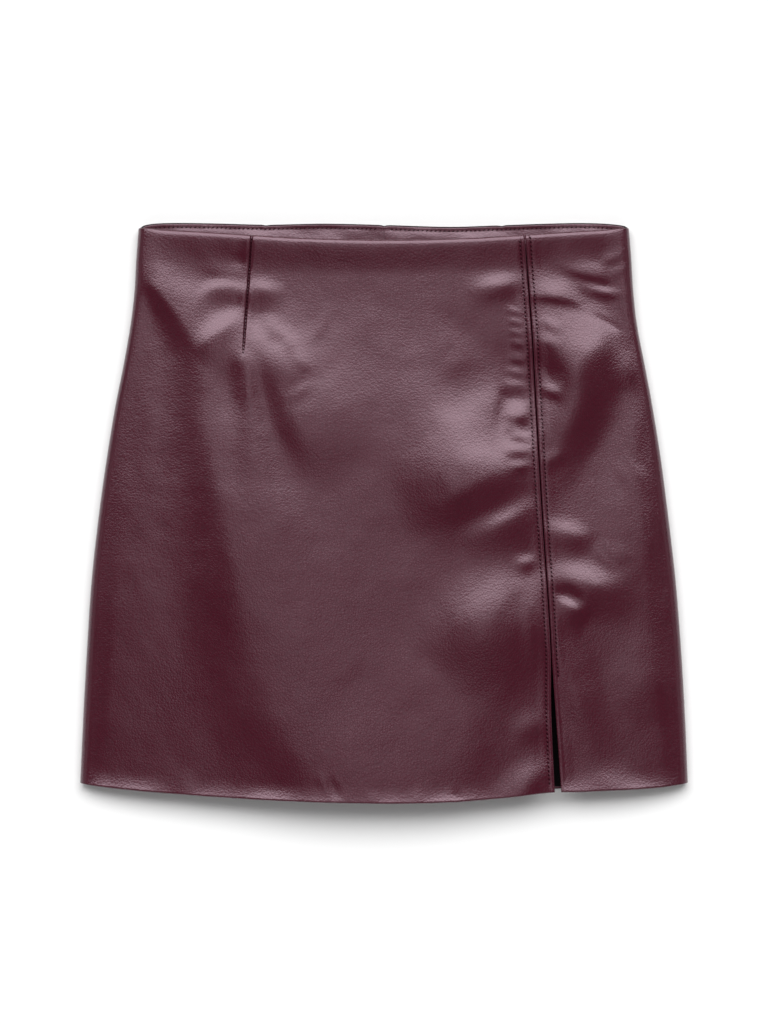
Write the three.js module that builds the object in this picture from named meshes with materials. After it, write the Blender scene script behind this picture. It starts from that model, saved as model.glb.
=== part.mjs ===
// A leather mini skirt laid flat on a table, front up.
//
// Its front is two panels: a wide main panel with one dart, and a narrow side panel. A lengthwise
// seam joins them and opens into a slit at the hem. The back is two panels that meet at the centre
// back seam, with a facing along the inside of the waist and a closed concealed zip on the seam.
// The cloth is a thin wall: the front lies over the back in a low arch, and both round into a
// soft fold at each side, so the waist and the hem stay open.
//
// Millimetres. +X runs across the skirt, +Y from hem to waist, +Z up from the table.
import * as THREE from "three";

// Thickness of the cloth, and of the second layer where an edge is turned under.
const CLOTH = 1.4;
const TURNED_UNDER = 0.8;
// Depths of the turned hem, and of the turned edge at the waist, seam and slit.
const HEM_TURN = 22;
const EDGE_TURN = 8;
// Clearance that parts two pieces where they are sewn together.
const SEAM_GAP = 0.3;

// The side folds: how high the side seams lie, and the radii of the back below and the front above.
const SIDE_HEIGHT = 5;
const BACK_ROLL = SIDE_HEIGHT - SEAM_GAP / 2;
const FRONT_ROLL = 7;

// Half widths of the laid skirt, left and right of its centre line, from the waist to the hem.
const SIDES = [
  { y: 218, left: 183.8, right: 183.4 },
  { y: 190, left: 186, right: 185.6 },
  { y: 165, left: 187.4, right: 187.2 },
  { y: 140, left: 190.4, right: 190 },
  { y: 110, left: 195.6, right: 195.8 },
  { y: 80, left: 201.6, right: 201.4 },
  { y: 40, left: 208.2, right: 207.8 },
  { y: 0, left: 213.8, right: 213 },
  { y: -50, left: 219.4, right: 218.8 },
  { y: -100, left: 222.8, right: 222.8 },
  { y: -150, left: 225.6, right: 225.8 },
  { y: -218, left: 228.7, right: 228.7 },
];

// The front's hem, from side seam to side seam.
const FRONT_HEM = [
  { x: -228, y: -203.4 },
  { x: -215, y: -205.2 },
  { x: -170, y: -209.6 },
  { x: -110, y: -213.6 },
  { x: -50, y: -216.2 },
  { x: 10, y: -217.2 },
  { x: 60, y: -215.6 },
  { x: 100, y: -212.4 },
  { x: 127, y: -209.4 },
  { x: 150, y: -209 },
  { x: 205, y: -206.2 },
  { x: 228, y: -203.4 },
];
// The front's waist dips at the middle, below the back's.
const FRONT_WAIST = [
  { x: -184, y: 213 },
  { x: -160, y: 211.8 },
  { x: -120, y: 209.2 },
  { x: -80, y: 206.4 },
  { x: -40, y: 204.6 },
  { x: 10, y: 204 },
  { x: 60, y: 205.2 },
  { x: 100, y: 207.6 },
  { x: 140, y: 210.4 },
  { x: 184, y: 213 },
];
const BACK_HEM = [
  { x: -228, y: -203.4 },
  { x: -120, y: -208.2 },
  { x: 0, y: -209.8 },
  { x: 120, y: -208.2 },
  { x: 228, y: -203.4 },
];
const BACK_WAIST = [
  { x: -184, y: 213 },
  { x: -181, y: 215.2 },
  { x: -172, y: 216.8 },
  { x: -155, y: 217.3 },
  { x: -125, y: 216.9 },
  { x: -88, y: 216 },
  { x: -45, y: 216.8 },
  { x: 0, y: 215.8 },
  { x: 50, y: 214.4 },
  { x: 88, y: 215.6 },
  { x: 140, y: 217.2 },
  { x: 165, y: 216.8 },
  { x: 181, y: 215 },
  { x: 184, y: 213 },
];

// The lengthwise seam of the front, and how far its two edges part: together to the slit's top.
const SEAM = [
  { y: 218, x: 104.4, open: 0 },
  { y: 166, x: 108.4, open: 0 },
  { y: 130, x: 110.9, open: 0 },
  { y: 60, x: 114.7, open: 0 },
  { y: -10, x: 118.8, open: 0 },
  { y: -80, x: 123.5, open: 0 },
  { y: -107, x: 124.9, open: 0 },
  { y: -140, x: 126.1, open: 2.6 },
  { y: -175, x: 128, open: 4 },
  { y: -218, x: 130.6, open: 5 },
];
const SLIT_TOP = -107;
// The ditch where two edges meet, or a dart is sewn: how far each side of the line, how deep.
const DITCH_WIDTH = 2.6;
const DITCH_DEPTH = 1;

// The dart in the main panel, from the waist to its tip.
const DART = { topX: -99, topY: 206, tipX: -105.4, tipY: 116 };
const DART_DEPTH = 1.1;

// How high the front arches over its side folds, from the waist to the hem.
const ARCH = [
  { y: 218, rise: 8.5 },
  { y: 150, rise: 11 },
  { y: 0, rise: 14 },
  { y: -150, rise: 13.5 },
  { y: -218, rise: 12.5 },
];
// Where the arch is highest, as a share of the half width from the middle, and the rounding
// towards the waist and the hem: how far in it starts, and how far the edge drops, or lifts where
// it is below zero.
const ARCH_CENTRE = -0.08;
const WAIST_ROUND = { reach: 6, drop: 1.4 };
const HEM_ROUND = { reach: 11, drop: -0.9 };

// The largest folds of the front. Each is a soft ridge, or a trough where its height is below
// zero, centred at x, y. It runs at an angle from +X for its reach each way, and falls away over
// one width on the side above its line and another below it. Its ends bend towards the side above.
const FOLDS = [
  // Under the waist, all the way across.
  { x: -10, y: 179, angle: 0, reach: 420, above: 11.5, below: 80, height: -4, bend: 55 },
  // The long drape on the left, its crest, and the fall along the left side.
  { x: -116, y: -40, angle: 106.4, reach: 300, above: 27, below: 50, height: 5.5, bend: -80 },
  { x: -118, y: -40, angle: 106.4, reach: 260, above: 11, below: 26, height: 1.8, bend: -60 },
  { x: -203, y: -80, angle: 84.8, reach: 170, above: 9, below: 30, height: 1.9, bend: 0 },
  // Left of the dart, below the waist and beside the tip, and the puff on its right.
  { x: -160, y: 150, angle: 126, reach: 52, above: 11, below: 30, height: 3.6, bend: -5 },
  { x: -121, y: 134, angle: 42, reach: 28, above: 10, below: 14, height: 2.8, bend: 0 },
  { x: -84, y: 98, angle: 122, reach: 56, above: 10, below: 22, height: 4.4, bend: 0 },
  // Left of the seam: the large ridge, the puff beside the puckers, the pulls to the slit.
  { x: 68, y: 22, angle: 24, reach: 58, above: 23, below: 17, height: 8.6, bend: -3 },
  { x: 77, y: 92, angle: 74, reach: 27, above: 9, below: 9, height: 2.2, bend: 0 },
  { x: 82, y: -74, angle: 41, reach: 56, above: 16, below: 22, height: 5.6, bend: 0 },
  { x: 107, y: -197, angle: 34, reach: 30, above: 10, below: 9, height: 2.6, bend: 0 },
  // The side panel: the puff and the ridge above its valley, the valley, and the ridges below it.
  { x: 141, y: 116, angle: 40, reach: 44, above: 22, below: 15, height: 5.2, bend: 0 },
  { x: 152, y: 88, angle: 62, reach: 70, above: 14, below: 12, height: 4, bend: 0 },
  { x: 164, y: 60, angle: 63, reach: 100, above: 14, below: 18, height: -4, bend: 0 },
  { x: 151, y: -53, angle: -8, reach: 30, above: 12, below: 9, height: 3, bend: 0 },
  { x: 144, y: -136, angle: 108, reach: 62, above: 9, below: 10, height: 1.9, bend: 0 },
];

// The inside of the back: the waist facing, its clearance to the cloth, and the closed zip.
const FACING_DEPTH = 38;
const FACING_CLOTH = 1;
const FACING_SET_BACK = 0.8;
const ZIP = { halfWidth: 12, length: 170, cloth: 0.8, coilHalfWidth: 1.6 };

// How finely the walls are divided.
const ROLL_STEPS = 4;
const FRONT_ROWS = 36;
const BACK_ROWS = 12;
const FACING_ROWS = 4;
const COLUMN_WIDTH = 8.5;
const BACK_COLUMN_WIDTH = 24;
// A short step for slopes, as a share of a row or column.
const SHORT = 1e-3;

const mix = THREE.MathUtils.lerp;
const quarterTurn = Math.PI / 2;

// Reads one column of a table at a place along another, on a smooth curve through its rows.
function read(rows, along, column, place) {
  const ascending = rows[0][along] < rows[rows.length - 1][along];
  const order = ascending ? rows : [...rows].reverse();
  const last = order.length - 1;
  const at = THREE.MathUtils.clamp(place, order[0][along], order[last][along]);
  let i = 0;
  while (i < last - 1 && order[i + 1][along] < at) i += 1;
  const slope = (k) => {
    const before = order[Math.max(k - 1, 0)];
    const after = order[Math.min(k + 1, last)];
    return (after[column] - before[column]) / (after[along] - before[along]);
  };
  const span = order[i + 1][along] - order[i][along];
  const t = (at - order[i][along]) / span;
  const rise = order[i + 1][column] - order[i][column];
  const lead = slope(i) * span - rise;
  const trail = rise - slope(i + 1) * span;
  return order[i][column] + rise * t + t * (1 - t) * (lead * (1 - t) + trail * t);
}

// Half width of the skirt on one side: -1 for the left, +1 for the right.
const halfWidth = (side, y) => read(SIDES, "y", side < 0 ? "left" : "right", y);

// How far in from a side seam a point lies, at a girth measured round the fold from the seam.
function inset(girth, radius) {
  const corner = quarterTurn * radius;
  return girth < corner ? radius * (1 - Math.cos(girth / radius)) : radius + girth - corner;
}

// The girth round the fold that reaches that far in, past the round itself.
const girthTo = (distance, radius) => distance + (quarterTurn - 1) * radius;

// How much of the fold's radius a point has climbed.
const climbed = (girth, radius) => Math.sin(Math.min(girth / radius, quarterTurn));

// The height that the large folds add at a point.
function foldHeight(x, y) {
  let height = 0;
  for (const fold of FOLDS) {
    const angle = THREE.MathUtils.degToRad(fold.angle);
    const dx = x - fold.x;
    const dy = y - fold.y;
    const run = (dx * Math.cos(angle) + dy * Math.sin(angle)) / fold.reach;
    const across = dy * Math.cos(angle) - dx * Math.sin(angle) - fold.bend * run ** 2;
    const width = across > 0 ? fold.above : fold.below;
    const fading = Math.max(0, 1 - run ** 2) ** 2;
    height += fold.height * fading * Math.exp(-0.5 * (across / width) ** 2);
  }
  return height;
}

// How far an edge's rounding lowers a point that lies this far in from it.
const rounded = (distance, round) => round.drop * Math.max(0, 1 - distance / round.reach) ** 2;

// How far the ditch of the seam or the dart lowers a point of the front.
function ditch(x, y) {
  const seam = Math.max(0, 1 - Math.abs(x - read(SEAM, "y", "x", y)) / DITCH_WIDTH) * DITCH_DEPTH;
  const share = (y - DART.tipY) / (DART.topY - DART.tipY);
  const dartX = mix(DART.tipX, DART.topX, share);
  const sewn = THREE.MathUtils.smoothstep(share, 0, 0.12) * DART_DEPTH;
  return (y > SLIT_TOP ? seam : 0) + Math.max(0, 1 - Math.abs(x - dartX) / DITCH_WIDTH) * sewn;
}

// The front's outer surface, at a girth round from one side seam and a share of the way from
// hem to waist.
function frontPoint(side, girthAt, share) {
  let y = mix(FRONT_HEM[0].y, FRONT_WAIST[0].y, share);
  let x = 0;
  let girth = 0;
  for (let pass = 0; pass < 4; pass += 1) {
    girth = girthAt(y);
    x = side * (halfWidth(side, y) - inset(girth, FRONT_ROLL));
    y = mix(read(FRONT_HEM, "x", "y", x), read(FRONT_WAIST, "x", "y", x), share);
  }
  const middle = (halfWidth(1, y) - halfWidth(-1, y)) / 2;
  const half = (halfWidth(1, y) + halfWidth(-1, y)) / 2;
  const across = THREE.MathUtils.clamp((x - middle) / half, -1, 1);
  const span = across < ARCH_CENTRE ? 1 + ARCH_CENTRE : 1 - ARCH_CENTRE;
  const leaning = (across - ARCH_CENTRE) / span;
  const arch = read(ARCH, "y", "rise", y) * (1 - leaning * leaning);
  const clearOfFold = THREE.MathUtils.smoothstep(inset(girth, FRONT_ROLL), 0, 3 * FRONT_ROLL);
  const fromWaist = read(FRONT_WAIST, "x", "y", x) - y;
  const fromHem = y - read(FRONT_HEM, "x", "y", x);
  const edges = rounded(fromWaist, WAIST_ROUND) + rounded(fromHem, HEM_ROUND);
  const foot = SIDE_HEIGHT + SEAM_GAP / 2;
  const rolled = foot + (FRONT_ROLL - SEAM_GAP / 2) * climbed(girth, FRONT_ROLL);
  const z = rolled + arch + clearOfFold * (foldHeight(x, y) - edges) - ditch(x, y);
  return new THREE.Vector3(x, y, z);
}

// Thickness of the front's wall: two layers at the turned hem, waist and lengthwise edges.
function frontCloth(point) {
  const fromHem = point.y - read(FRONT_HEM, "x", "y", point.x);
  const fromWaist = read(FRONT_WAIST, "x", "y", point.x) - point.y;
  const fromSeam = Math.abs(point.x - read(SEAM, "y", "x", point.y));
  const turned = Math.max(
    1 - THREE.MathUtils.smoothstep(fromHem, HEM_TURN - 2, HEM_TURN + 2),
    1 - THREE.MathUtils.smoothstep(fromWaist, EDGE_TURN, EDGE_TURN + 4),
    1 - THREE.MathUtils.smoothstep(fromSeam, EDGE_TURN, EDGE_TURN + 4),
  );
  const fromSide = halfWidth(Math.sign(point.x), point.y) - Math.abs(point.x);
  return CLOTH + TURNED_UNDER * turned * THREE.MathUtils.smoothstep(fromSide, 1, 3 * FRONT_ROLL);
}

// The back's outer surface, which lies on the table and rounds up to the side seam.
function backPoint(side, girthAt, share) {
  let y = mix(BACK_HEM[0].y, BACK_WAIST[0].y, share);
  let x = 0;
  let girth = 0;
  for (let pass = 0; pass < 4; pass += 1) {
    girth = girthAt(y);
    x = side * (halfWidth(side, y) - inset(girth, BACK_ROLL));
    y = mix(read(BACK_HEM, "x", "y", x), read(BACK_WAIST, "x", "y", x), share);
  }
  return new THREE.Vector3(x, y, BACK_ROLL * (1 - climbed(girth, BACK_ROLL)));
}

// A closed wall between two grids of points: outer[row][column] and inner[row][column].
function closedWall(outer, inner) {
  const rows = outer.length;
  const columns = outer[0].length;
  const points = [...outer.flat(), ...inner.flat()];
  const outerAt = (row, column) => row * columns + column;
  const innerAt = (row, column) => rows * columns + outerAt(row, column);
  const faces = [];
  const quad = (a, b, c, d) => faces.push(a, b, c, a, c, d);
  for (let row = 0; row < rows - 1; row += 1) {
    const next = row + 1;
    for (let column = 0; column < columns - 1; column += 1) {
      const beside = column + 1;
      quad(outerAt(row, column), outerAt(row, beside), outerAt(next, beside), outerAt(next, column));
      quad(innerAt(row, column), innerAt(next, column), innerAt(next, beside), innerAt(row, beside));
    }
    const end = columns - 1;
    quad(outerAt(row, 0), outerAt(next, 0), innerAt(next, 0), innerAt(row, 0));
    quad(outerAt(next, end), outerAt(row, end), innerAt(row, end), innerAt(next, end));
  }
  for (let column = 0; column < columns - 1; column += 1) {
    const beside = column + 1;
    const top = rows - 1;
    quad(outerAt(0, beside), outerAt(0, column), innerAt(0, column), innerAt(0, beside));
    quad(outerAt(top, column), outerAt(top, beside), innerAt(top, beside), innerAt(top, column));
  }
  let volume = 0;
  for (let i = 0; i < faces.length; i += 3) {
    const [a, b, c] = [points[faces[i]], points[faces[i + 1]], points[faces[i + 2]]];
    volume += a.dot(new THREE.Vector3().crossVectors(b, c));
  }
  if (volume < 0) faces.reverse();
  const geometry = new THREE.BufferGeometry().setFromPoints(points).setIndex(faces);
  geometry.computeVertexNormals();
  return geometry;
}

// A wall under surface(column, share), between two distances from it by its own normals. The normals
// point into the skirt with turn at +1 or -1, by the side and the layer that it belongs to.
function wallUnder(surface, columns, shares, turn, outside, inside) {
  const offset = (column, share, depthAt) => {
    const point = surface(column, share);
    const across = surface(column + SHORT, share).sub(surface(column - SHORT, share));
    const along = surface(column, share + SHORT).sub(surface(column, share - SHORT));
    const normal = new THREE.Vector3().crossVectors(across, along).normalize();
    return point.addScaledVector(normal, turn * depthAt(point));
  };
  const grid = (depthAt) => shares.map((share) => columns.map((column) => offset(column, share, depthAt)));
  return closedWall(grid(outside), grid(inside));
}

// Even steps from 0 to 1.
const steps = (count) => Array.from({ length: count + 1 }, (_, i) => i / count);
const numbered = (count) => Array.from({ length: count }, (_, i) => i);

// Rows of the front: even, with closer ones for the turned hem and waist.
const frontShares = [0, 0.008, 0.018, 0.034, ...steps(FRONT_ROWS).slice(2, -1), 0.988, 1];

// Girths of the knots round a side fold.
const rollGirths = (radius) => steps(ROLL_STEPS).map((share) => share * quarterTurn * radius);

// Even places between two values, without the first.
function between(start, end, count) {
  return steps(count).slice(1).map((share) => mix(start, end, share));
}

// Reads a list of knots at a place that may lie between two of them, or just past its ends.
function knotAt(knots, column) {
  const i = THREE.MathUtils.clamp(Math.floor(column), 0, knots.length - 2);
  return mix(knots[i], knots[i + 1], column - i);
}

// Girths across the main panel at one height: the side fold, the dart's three lines, the seam's two.
function mainKnots(y) {
  const left = halfWidth(-1, y);
  const share = (y - DART.tipY) / (DART.topY - DART.tipY);
  const dart = girthTo(left + mix(DART.tipX, DART.topX, share), FRONT_ROLL);
  const edge = read(SEAM, "y", "x", y) - Math.max(SEAM_GAP, read(SEAM, "y", "open", y)) / 2;
  const seam = girthTo(left + edge, FRONT_ROLL);
  const folded = rollGirths(FRONT_ROLL);
  const toDart = Math.round(80 / COLUMN_WIDTH);
  const toSeam = Math.round(206 / COLUMN_WIDTH);
  return [
    ...folded,
    ...between(folded[ROLL_STEPS], dart - DITCH_WIDTH, toDart),
    dart,
    dart + DITCH_WIDTH,
    ...between(dart + DITCH_WIDTH, seam - DITCH_WIDTH, toSeam),
    seam,
  ];
}

// Girths across the side panel, from the right side fold to the seam.
function sideKnots(y) {
  const right = halfWidth(1, y);
  const edge = read(SEAM, "y", "x", y) + Math.max(SEAM_GAP, read(SEAM, "y", "open", y)) / 2;
  const seam = girthTo(right - edge, FRONT_ROLL);
  const folded = rollGirths(FRONT_ROLL);
  const toSeam = Math.round(80 / COLUMN_WIDTH);
  return [...folded, ...between(folded[ROLL_STEPS], seam - DITCH_WIDTH, toSeam), seam];
}

function frontPanel(side, knotsAt) {
  const surface = (column, share) => frontPoint(side, (y) => knotAt(knotsAt(y), column), share);
  return wallUnder(surface, numbered(knotsAt(0).length), frontShares, side, () => 0, frontCloth);
}

// The back's surface on one side, and its columns, from the side seam to the centre back seam.
function backSurface(side) {
  const folded = rollGirths(BACK_ROLL);
  const count = Math.round(200 / BACK_COLUMN_WIDTH);
  const knotsAt = (y) => {
    const centre = girthTo(halfWidth(side, y) - SEAM_GAP / 2, BACK_ROLL);
    return [...folded, ...between(folded[ROLL_STEPS], centre, count)];
  };
  return {
    columns: numbered(knotsAt(0).length),
    at: (column, share) => backPoint(side, (y) => knotAt(knotsAt(y), column), share),
  };
}

function backPanel(side) {
  const surface = backSurface(side);
  return wallUnder(surface.at, surface.columns, steps(BACK_ROWS), -side, () => 0, () => CLOTH);
}

// The share of the back's length, from the hem, at a depth below its waist.
const shareBelowWaist = (depth) => 1 - depth / (BACK_WAIST[0].y - BACK_HEM[0].y);

// The facing lies on the back panel's inside, along the waist.
function backFacing(side) {
  const surface = backSurface(side);
  const depths = steps(FACING_ROWS).map((share) => FACING_SET_BACK + FACING_DEPTH * (1 - share));
  const shares = depths.map(shareBelowWaist);
  const lying = CLOTH + SEAM_GAP;
  return wallUnder(surface.at, surface.columns, shares, -side, () => lying, () => lying + FACING_CLOTH);
}

// The closed zip: its tape over the centre back seam, below the facing, with the coil raised on it.
function zipTape() {
  const facingFoot = shareBelowWaist(FACING_SET_BACK + FACING_DEPTH);
  const top = mix(read(BACK_HEM, "x", "y", 0), read(BACK_WAIST, "x", "y", 0), facingFoot) - 2 * SEAM_GAP;
  const profile = new THREE.Shape();
  profile.moveTo(-ZIP.halfWidth, 0);
  profile.lineTo(ZIP.halfWidth, 0);
  profile.lineTo(ZIP.halfWidth, ZIP.cloth);
  profile.lineTo(ZIP.coilHalfWidth, ZIP.cloth);
  profile.absarc(0, ZIP.cloth, ZIP.coilHalfWidth, 0, Math.PI, false);
  profile.lineTo(-ZIP.halfWidth, ZIP.cloth);
  profile.closePath();
  const settings = { depth: ZIP.length, bevelEnabled: false, curveSegments: 6 };
  const geometry = new THREE.ExtrudeGeometry(profile, settings);
  geometry.rotateX(quarterTurn);
  geometry.translate(0, top, CLOTH + SEAM_GAP);
  return geometry;
}

const leather = new THREE.MeshStandardMaterial({ color: 0x52222f, roughness: 0.42, metalness: 0 });
const tape = new THREE.MeshStandardMaterial({ color: 0x2c1219, roughness: 0.85, metalness: 0 });

function piece(name, geometry, material) {
  const mesh = new THREE.Mesh(geometry, material);
  mesh.name = name;
  return mesh;
}

const skirt = new THREE.Group();
skirt.name = "leather_skirt";
skirt.add(
  piece("front_main_panel", frontPanel(-1, mainKnots), leather),
  piece("front_side_panel", frontPanel(1, sideKnots), leather),
  piece("back_left_panel", backPanel(-1), leather),
  piece("back_right_panel", backPanel(1), leather),
  piece("back_facing_left", backFacing(-1), leather),
  piece("back_facing_right", backFacing(1), leather),
  piece("zip_tape", zipTape(), tape),
);

export default skirt;
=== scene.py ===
"""A burgundy leather mini skirt, laid flat with its front up.

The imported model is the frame. Each panel is a thin shell that follows its solid and adds the
creases, the turned edges, the seam's ditch and the dart. The sewing, the zip's teeth and its
slider are small pieces of their own. Sizes are in millimetres until a mesh is made.
"""

import logging
import math
from dataclasses import dataclass
from enum import Enum
from typing import Callable

import bpy
import numpy as np
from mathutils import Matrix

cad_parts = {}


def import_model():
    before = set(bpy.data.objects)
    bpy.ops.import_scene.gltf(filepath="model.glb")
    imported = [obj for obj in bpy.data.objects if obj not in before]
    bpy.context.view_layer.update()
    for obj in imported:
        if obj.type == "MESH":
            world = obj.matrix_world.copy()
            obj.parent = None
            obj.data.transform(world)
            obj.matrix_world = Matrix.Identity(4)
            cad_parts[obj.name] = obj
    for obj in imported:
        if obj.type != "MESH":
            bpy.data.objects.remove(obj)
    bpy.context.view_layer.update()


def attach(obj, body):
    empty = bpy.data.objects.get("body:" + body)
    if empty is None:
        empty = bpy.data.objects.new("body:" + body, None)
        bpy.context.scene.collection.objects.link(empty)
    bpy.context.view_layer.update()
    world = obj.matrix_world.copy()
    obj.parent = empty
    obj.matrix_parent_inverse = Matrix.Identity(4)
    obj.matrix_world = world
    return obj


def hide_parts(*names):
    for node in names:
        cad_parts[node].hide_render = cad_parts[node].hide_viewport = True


Grid = np.ndarray
Colour = tuple[float, float, float]

log = logging.getLogger("skirt")

MM = 0.001
PHOTO_LONG_SIDE = 1024
MM_PER_PIXEL = 0.75
ROOT = "root"
HEM_Y = -210.0
LENGTH = 424.0
BACK_LENGTH = 426.0
# The quarter round of a side fold is this much longer, per radius, than its way across.
ROUND_EXTRA = math.pi / 2 - 1


class Side(Enum):
    """A side of the skirt as it is seen, by the sign of x."""

    LEFT = -1
    RIGHT = 1


class Layer(Enum):
    """Which layer of the laid skirt a panel belongs to."""

    FRONT = "front"
    BACK = "back"


def smooth(value: Grid, start: float, end: float) -> Grid:
    """Rises smoothly from 0 at start to 1 at end.

    Args:
        value: Where to read it.
        start: The value below which it is 0.
        end: The value above which it is 1.

    Returns:
        The eased share, from 0 to 1.
    """
    t = np.clip((value - start) / (end - start), 0, 1)
    return t * t * (3 - 2 * t)


def bell(value: Grid, width: float) -> Grid:
    """A soft bump of height 1 at 0 that has mostly gone at two widths."""
    return np.exp(-0.5 * (value / width) ** 2)


@dataclass(frozen=True)
class Curve:
    """A smooth line through a few points.

    Attributes:
        points: Pairs of a place and the value there.
    """

    points: tuple[tuple[float, float], ...]

    def at(self, place: Grid) -> Grid:
        """Reads the line.

        Args:
            place: Places along it. Past its ends it keeps its last value.

        Returns:
            The values there.
        """
        spots, values = (np.array(row, float) for row in zip(*sorted(self.points)))
        slopes = np.gradient(values, spots)
        slopes[1:-1] = (values[2:] - values[:-2]) / (spots[2:] - spots[:-2])
        where = np.clip(place, spots[0], spots[-1])
        k = np.clip(np.searchsorted(spots, where, side="right") - 1, 0, len(spots) - 2)
        span = spots[k + 1] - spots[k]
        t = (where - spots[k]) / span
        rise = values[k + 1] - values[k]
        lead = slopes[k] * span - rise
        trail = rise - slopes[k + 1] * span
        return values[k] + rise * t + t * (1 - t) * (lead * (1 - t) + trail * t)


@dataclass(frozen=True)
class Fold:
    """A soft ridge in the cloth, or a trough where its height is below zero.

    Attributes:
        x: Where its middle is, across the skirt.
        y: Where its middle is, along the skirt.
        angle: Its direction, in degrees from +X.
        reach: How far it runs each way before it has died out.
        above: How wide it falls away on the side above its line, or left of an upright one.
        below: How wide it falls away on the other side.
        height: How high it stands.
        bend: How far its ends curve towards the side above.
    """

    x: float
    y: float
    angle: float
    reach: float
    above: float
    below: float
    height: float
    bend: float = 0.0

    def rise(self, x: Grid, y: Grid) -> Grid:
        """How much the fold lifts the cloth.

        Args:
            x: Where to read it, across the skirt.
            y: Where to read it, along the skirt.

        Returns:
            The lift at each point.
        """
        turn = math.radians(self.angle)
        dx, dy = x - self.x, y - self.y
        run = (dx * math.cos(turn) + dy * math.sin(turn)) / self.reach
        across = dy * math.cos(turn) - dx * math.sin(turn) - self.bend * run**2
        width = np.where(across > 0, self.above, self.below)
        return self.height * np.clip(1 - run**2, 0, None) ** 2 * bell(across, width)


@dataclass(frozen=True)
class Drape:
    """A long fold that hangs down the skirt.

    Attributes:
        crest: Where its crest is across the skirt, at each y.
        height: How high it stands at each y.
        left: How wide it falls away on its left.
        right: How wide it falls away on its right.
    """

    crest: Curve
    height: Curve
    left: Curve
    right: Curve

    def rise(self, x: Grid, y: Grid) -> Grid:
        """How much the drape lifts the cloth at each point."""
        aside = x - self.crest.at(y)
        return self.height.at(y) * bell(aside, np.where(aside < 0, self.left.at(y), self.right.at(y)))


DRAPES = (
    Drape(
        crest=Curve((
            (196, -188), (176, -178), (158, -162), (138, -148), (118, -138), (75, -134), (25, -125),
            (0, -118), (-50, -107), (-100, -97), (-150, -78), (-205, -42),
        )),
        height=Curve((
            (214, 0), (205, 0.4), (185, 2.8), (160, 4.2), (118, 4.3), (75, 4.2), (0, 5.0), (-100, 5.0),
            (-215, 4.2),
        )),
        left=Curve(((200, 7), (150, 9), (118, 11), (50, 13), (0, 18), (-60, 23), (-215, 30))),
        right=Curve(((200, 22), (150, 24), (118, 16), (75, 19), (25, 29), (-50, 46), (-215, 60))),
    ),
    Drape(
        crest=Curve((
            (122, -105.5), (100, -103), (75, -100), (50, -96), (25, -90), (0, -82), (-30, -72), (-50, -66),
        )),
        height=Curve((
            (132, 0), (124, 0.4), (112, 1.8), (95, 2.6), (70, 2.6), (40, 2.0), (10, 1.2), (-20, 0.5),
            (-50, 0),
        )),
        left=Curve(((120, 6), (75, 8), (-30, 16))),
        right=Curve(((120, 5), (90, 6), (60, 8), (25, 12), (-30, 20))),
    ),
    Drape(
        crest=Curve(((-80, 74), (-150, 60), (-215, 44))),
        height=Curve(((-40, 0), (-70, 0.3), (-120, 1.8), (-180, 2.6), (-215, 2.2))),
        left=Curve(((-80, 40), (-215, 60))),
        right=Curve(((-80, 24), (-215, 30))),
    ),
    Drape(
        crest=Curve(((120, 186), (60, 195), (0, 199), (-50, 194), (-90, 200), (-150, 208), (-215, 212))),
        height=Curve((
            (145, 0), (122, 0.5), (95, 2.4), (40, 3.8), (-15, 3.5), (-60, 3.0), (-110, 2.3), (-215, 1.0),
        )),
        left=Curve(((120, 10), (60, 24), (0, 30), (-60, 22), (-215, 30))),
        right=Curve(((120, 6), (0, 11), (-60, 15), (-215, 18))),
    ),
)
# The folds of the front, region by region: x, y, angle, reach, above, below, height, bend.
LARGE_FOLDS = (
    Fold(-10, 176, 0, 420, 14, 80, -4.0, 55),
    Fold(-203, -80, 84.8, 170, 7, 30, 1.9),
    Fold(65, 23, 25, 64, 33, 17, 7.4, -3),
    Fold(84, 93, 30, 54, 20, 30, -4.2),
    Fold(80, -80, 43, 60, 19, 32, 6.0),
    Fold(148, 118, 53, 44, 24, 13, 5.0),
    Fold(146, 82, 63, 66, 14, 16, 4.2),
    Fold(166, 58, 63, 100, 16, 30, -3.4),
)
UPPER_LEFT_FOLDS = (
    Fold(-176, 90, 86, 80, 9, 7, 0.8),
    Fold(-120, 134.5, 41, 30, 7, 24, 3.2),
    Fold(-118, 167, -3, 26, 5, 7, 1.9, -10),
    Fold(-122, 181, -13, 24, 5, 4, 0.7),
    Fold(-108, 188, -5, 10, 3, 3, -0.6),
)
DART_FOLDS = (
    Fold(-90, 165, -8, 20, 5, 7, 1.5),
    Fold(-80, 115, 136, 36, 15, 18, 3.6),
    Fold(-84, 138, 118, 14, 3, 4, 0.6),
    Fold(-72, 128, 118, 14, 3, 4, 0.5),
    Fold(-62, 112, 125, 12, 3, 4, 0.5),
    Fold(-46, 140, 64, 20, 3, 3, 0.35, 5),
    Fold(-62, 90, 32, 18, 3, 4, 0.5),
    Fold(-64, 70, 118, 62, 14, 32, 4.2),
)
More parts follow.
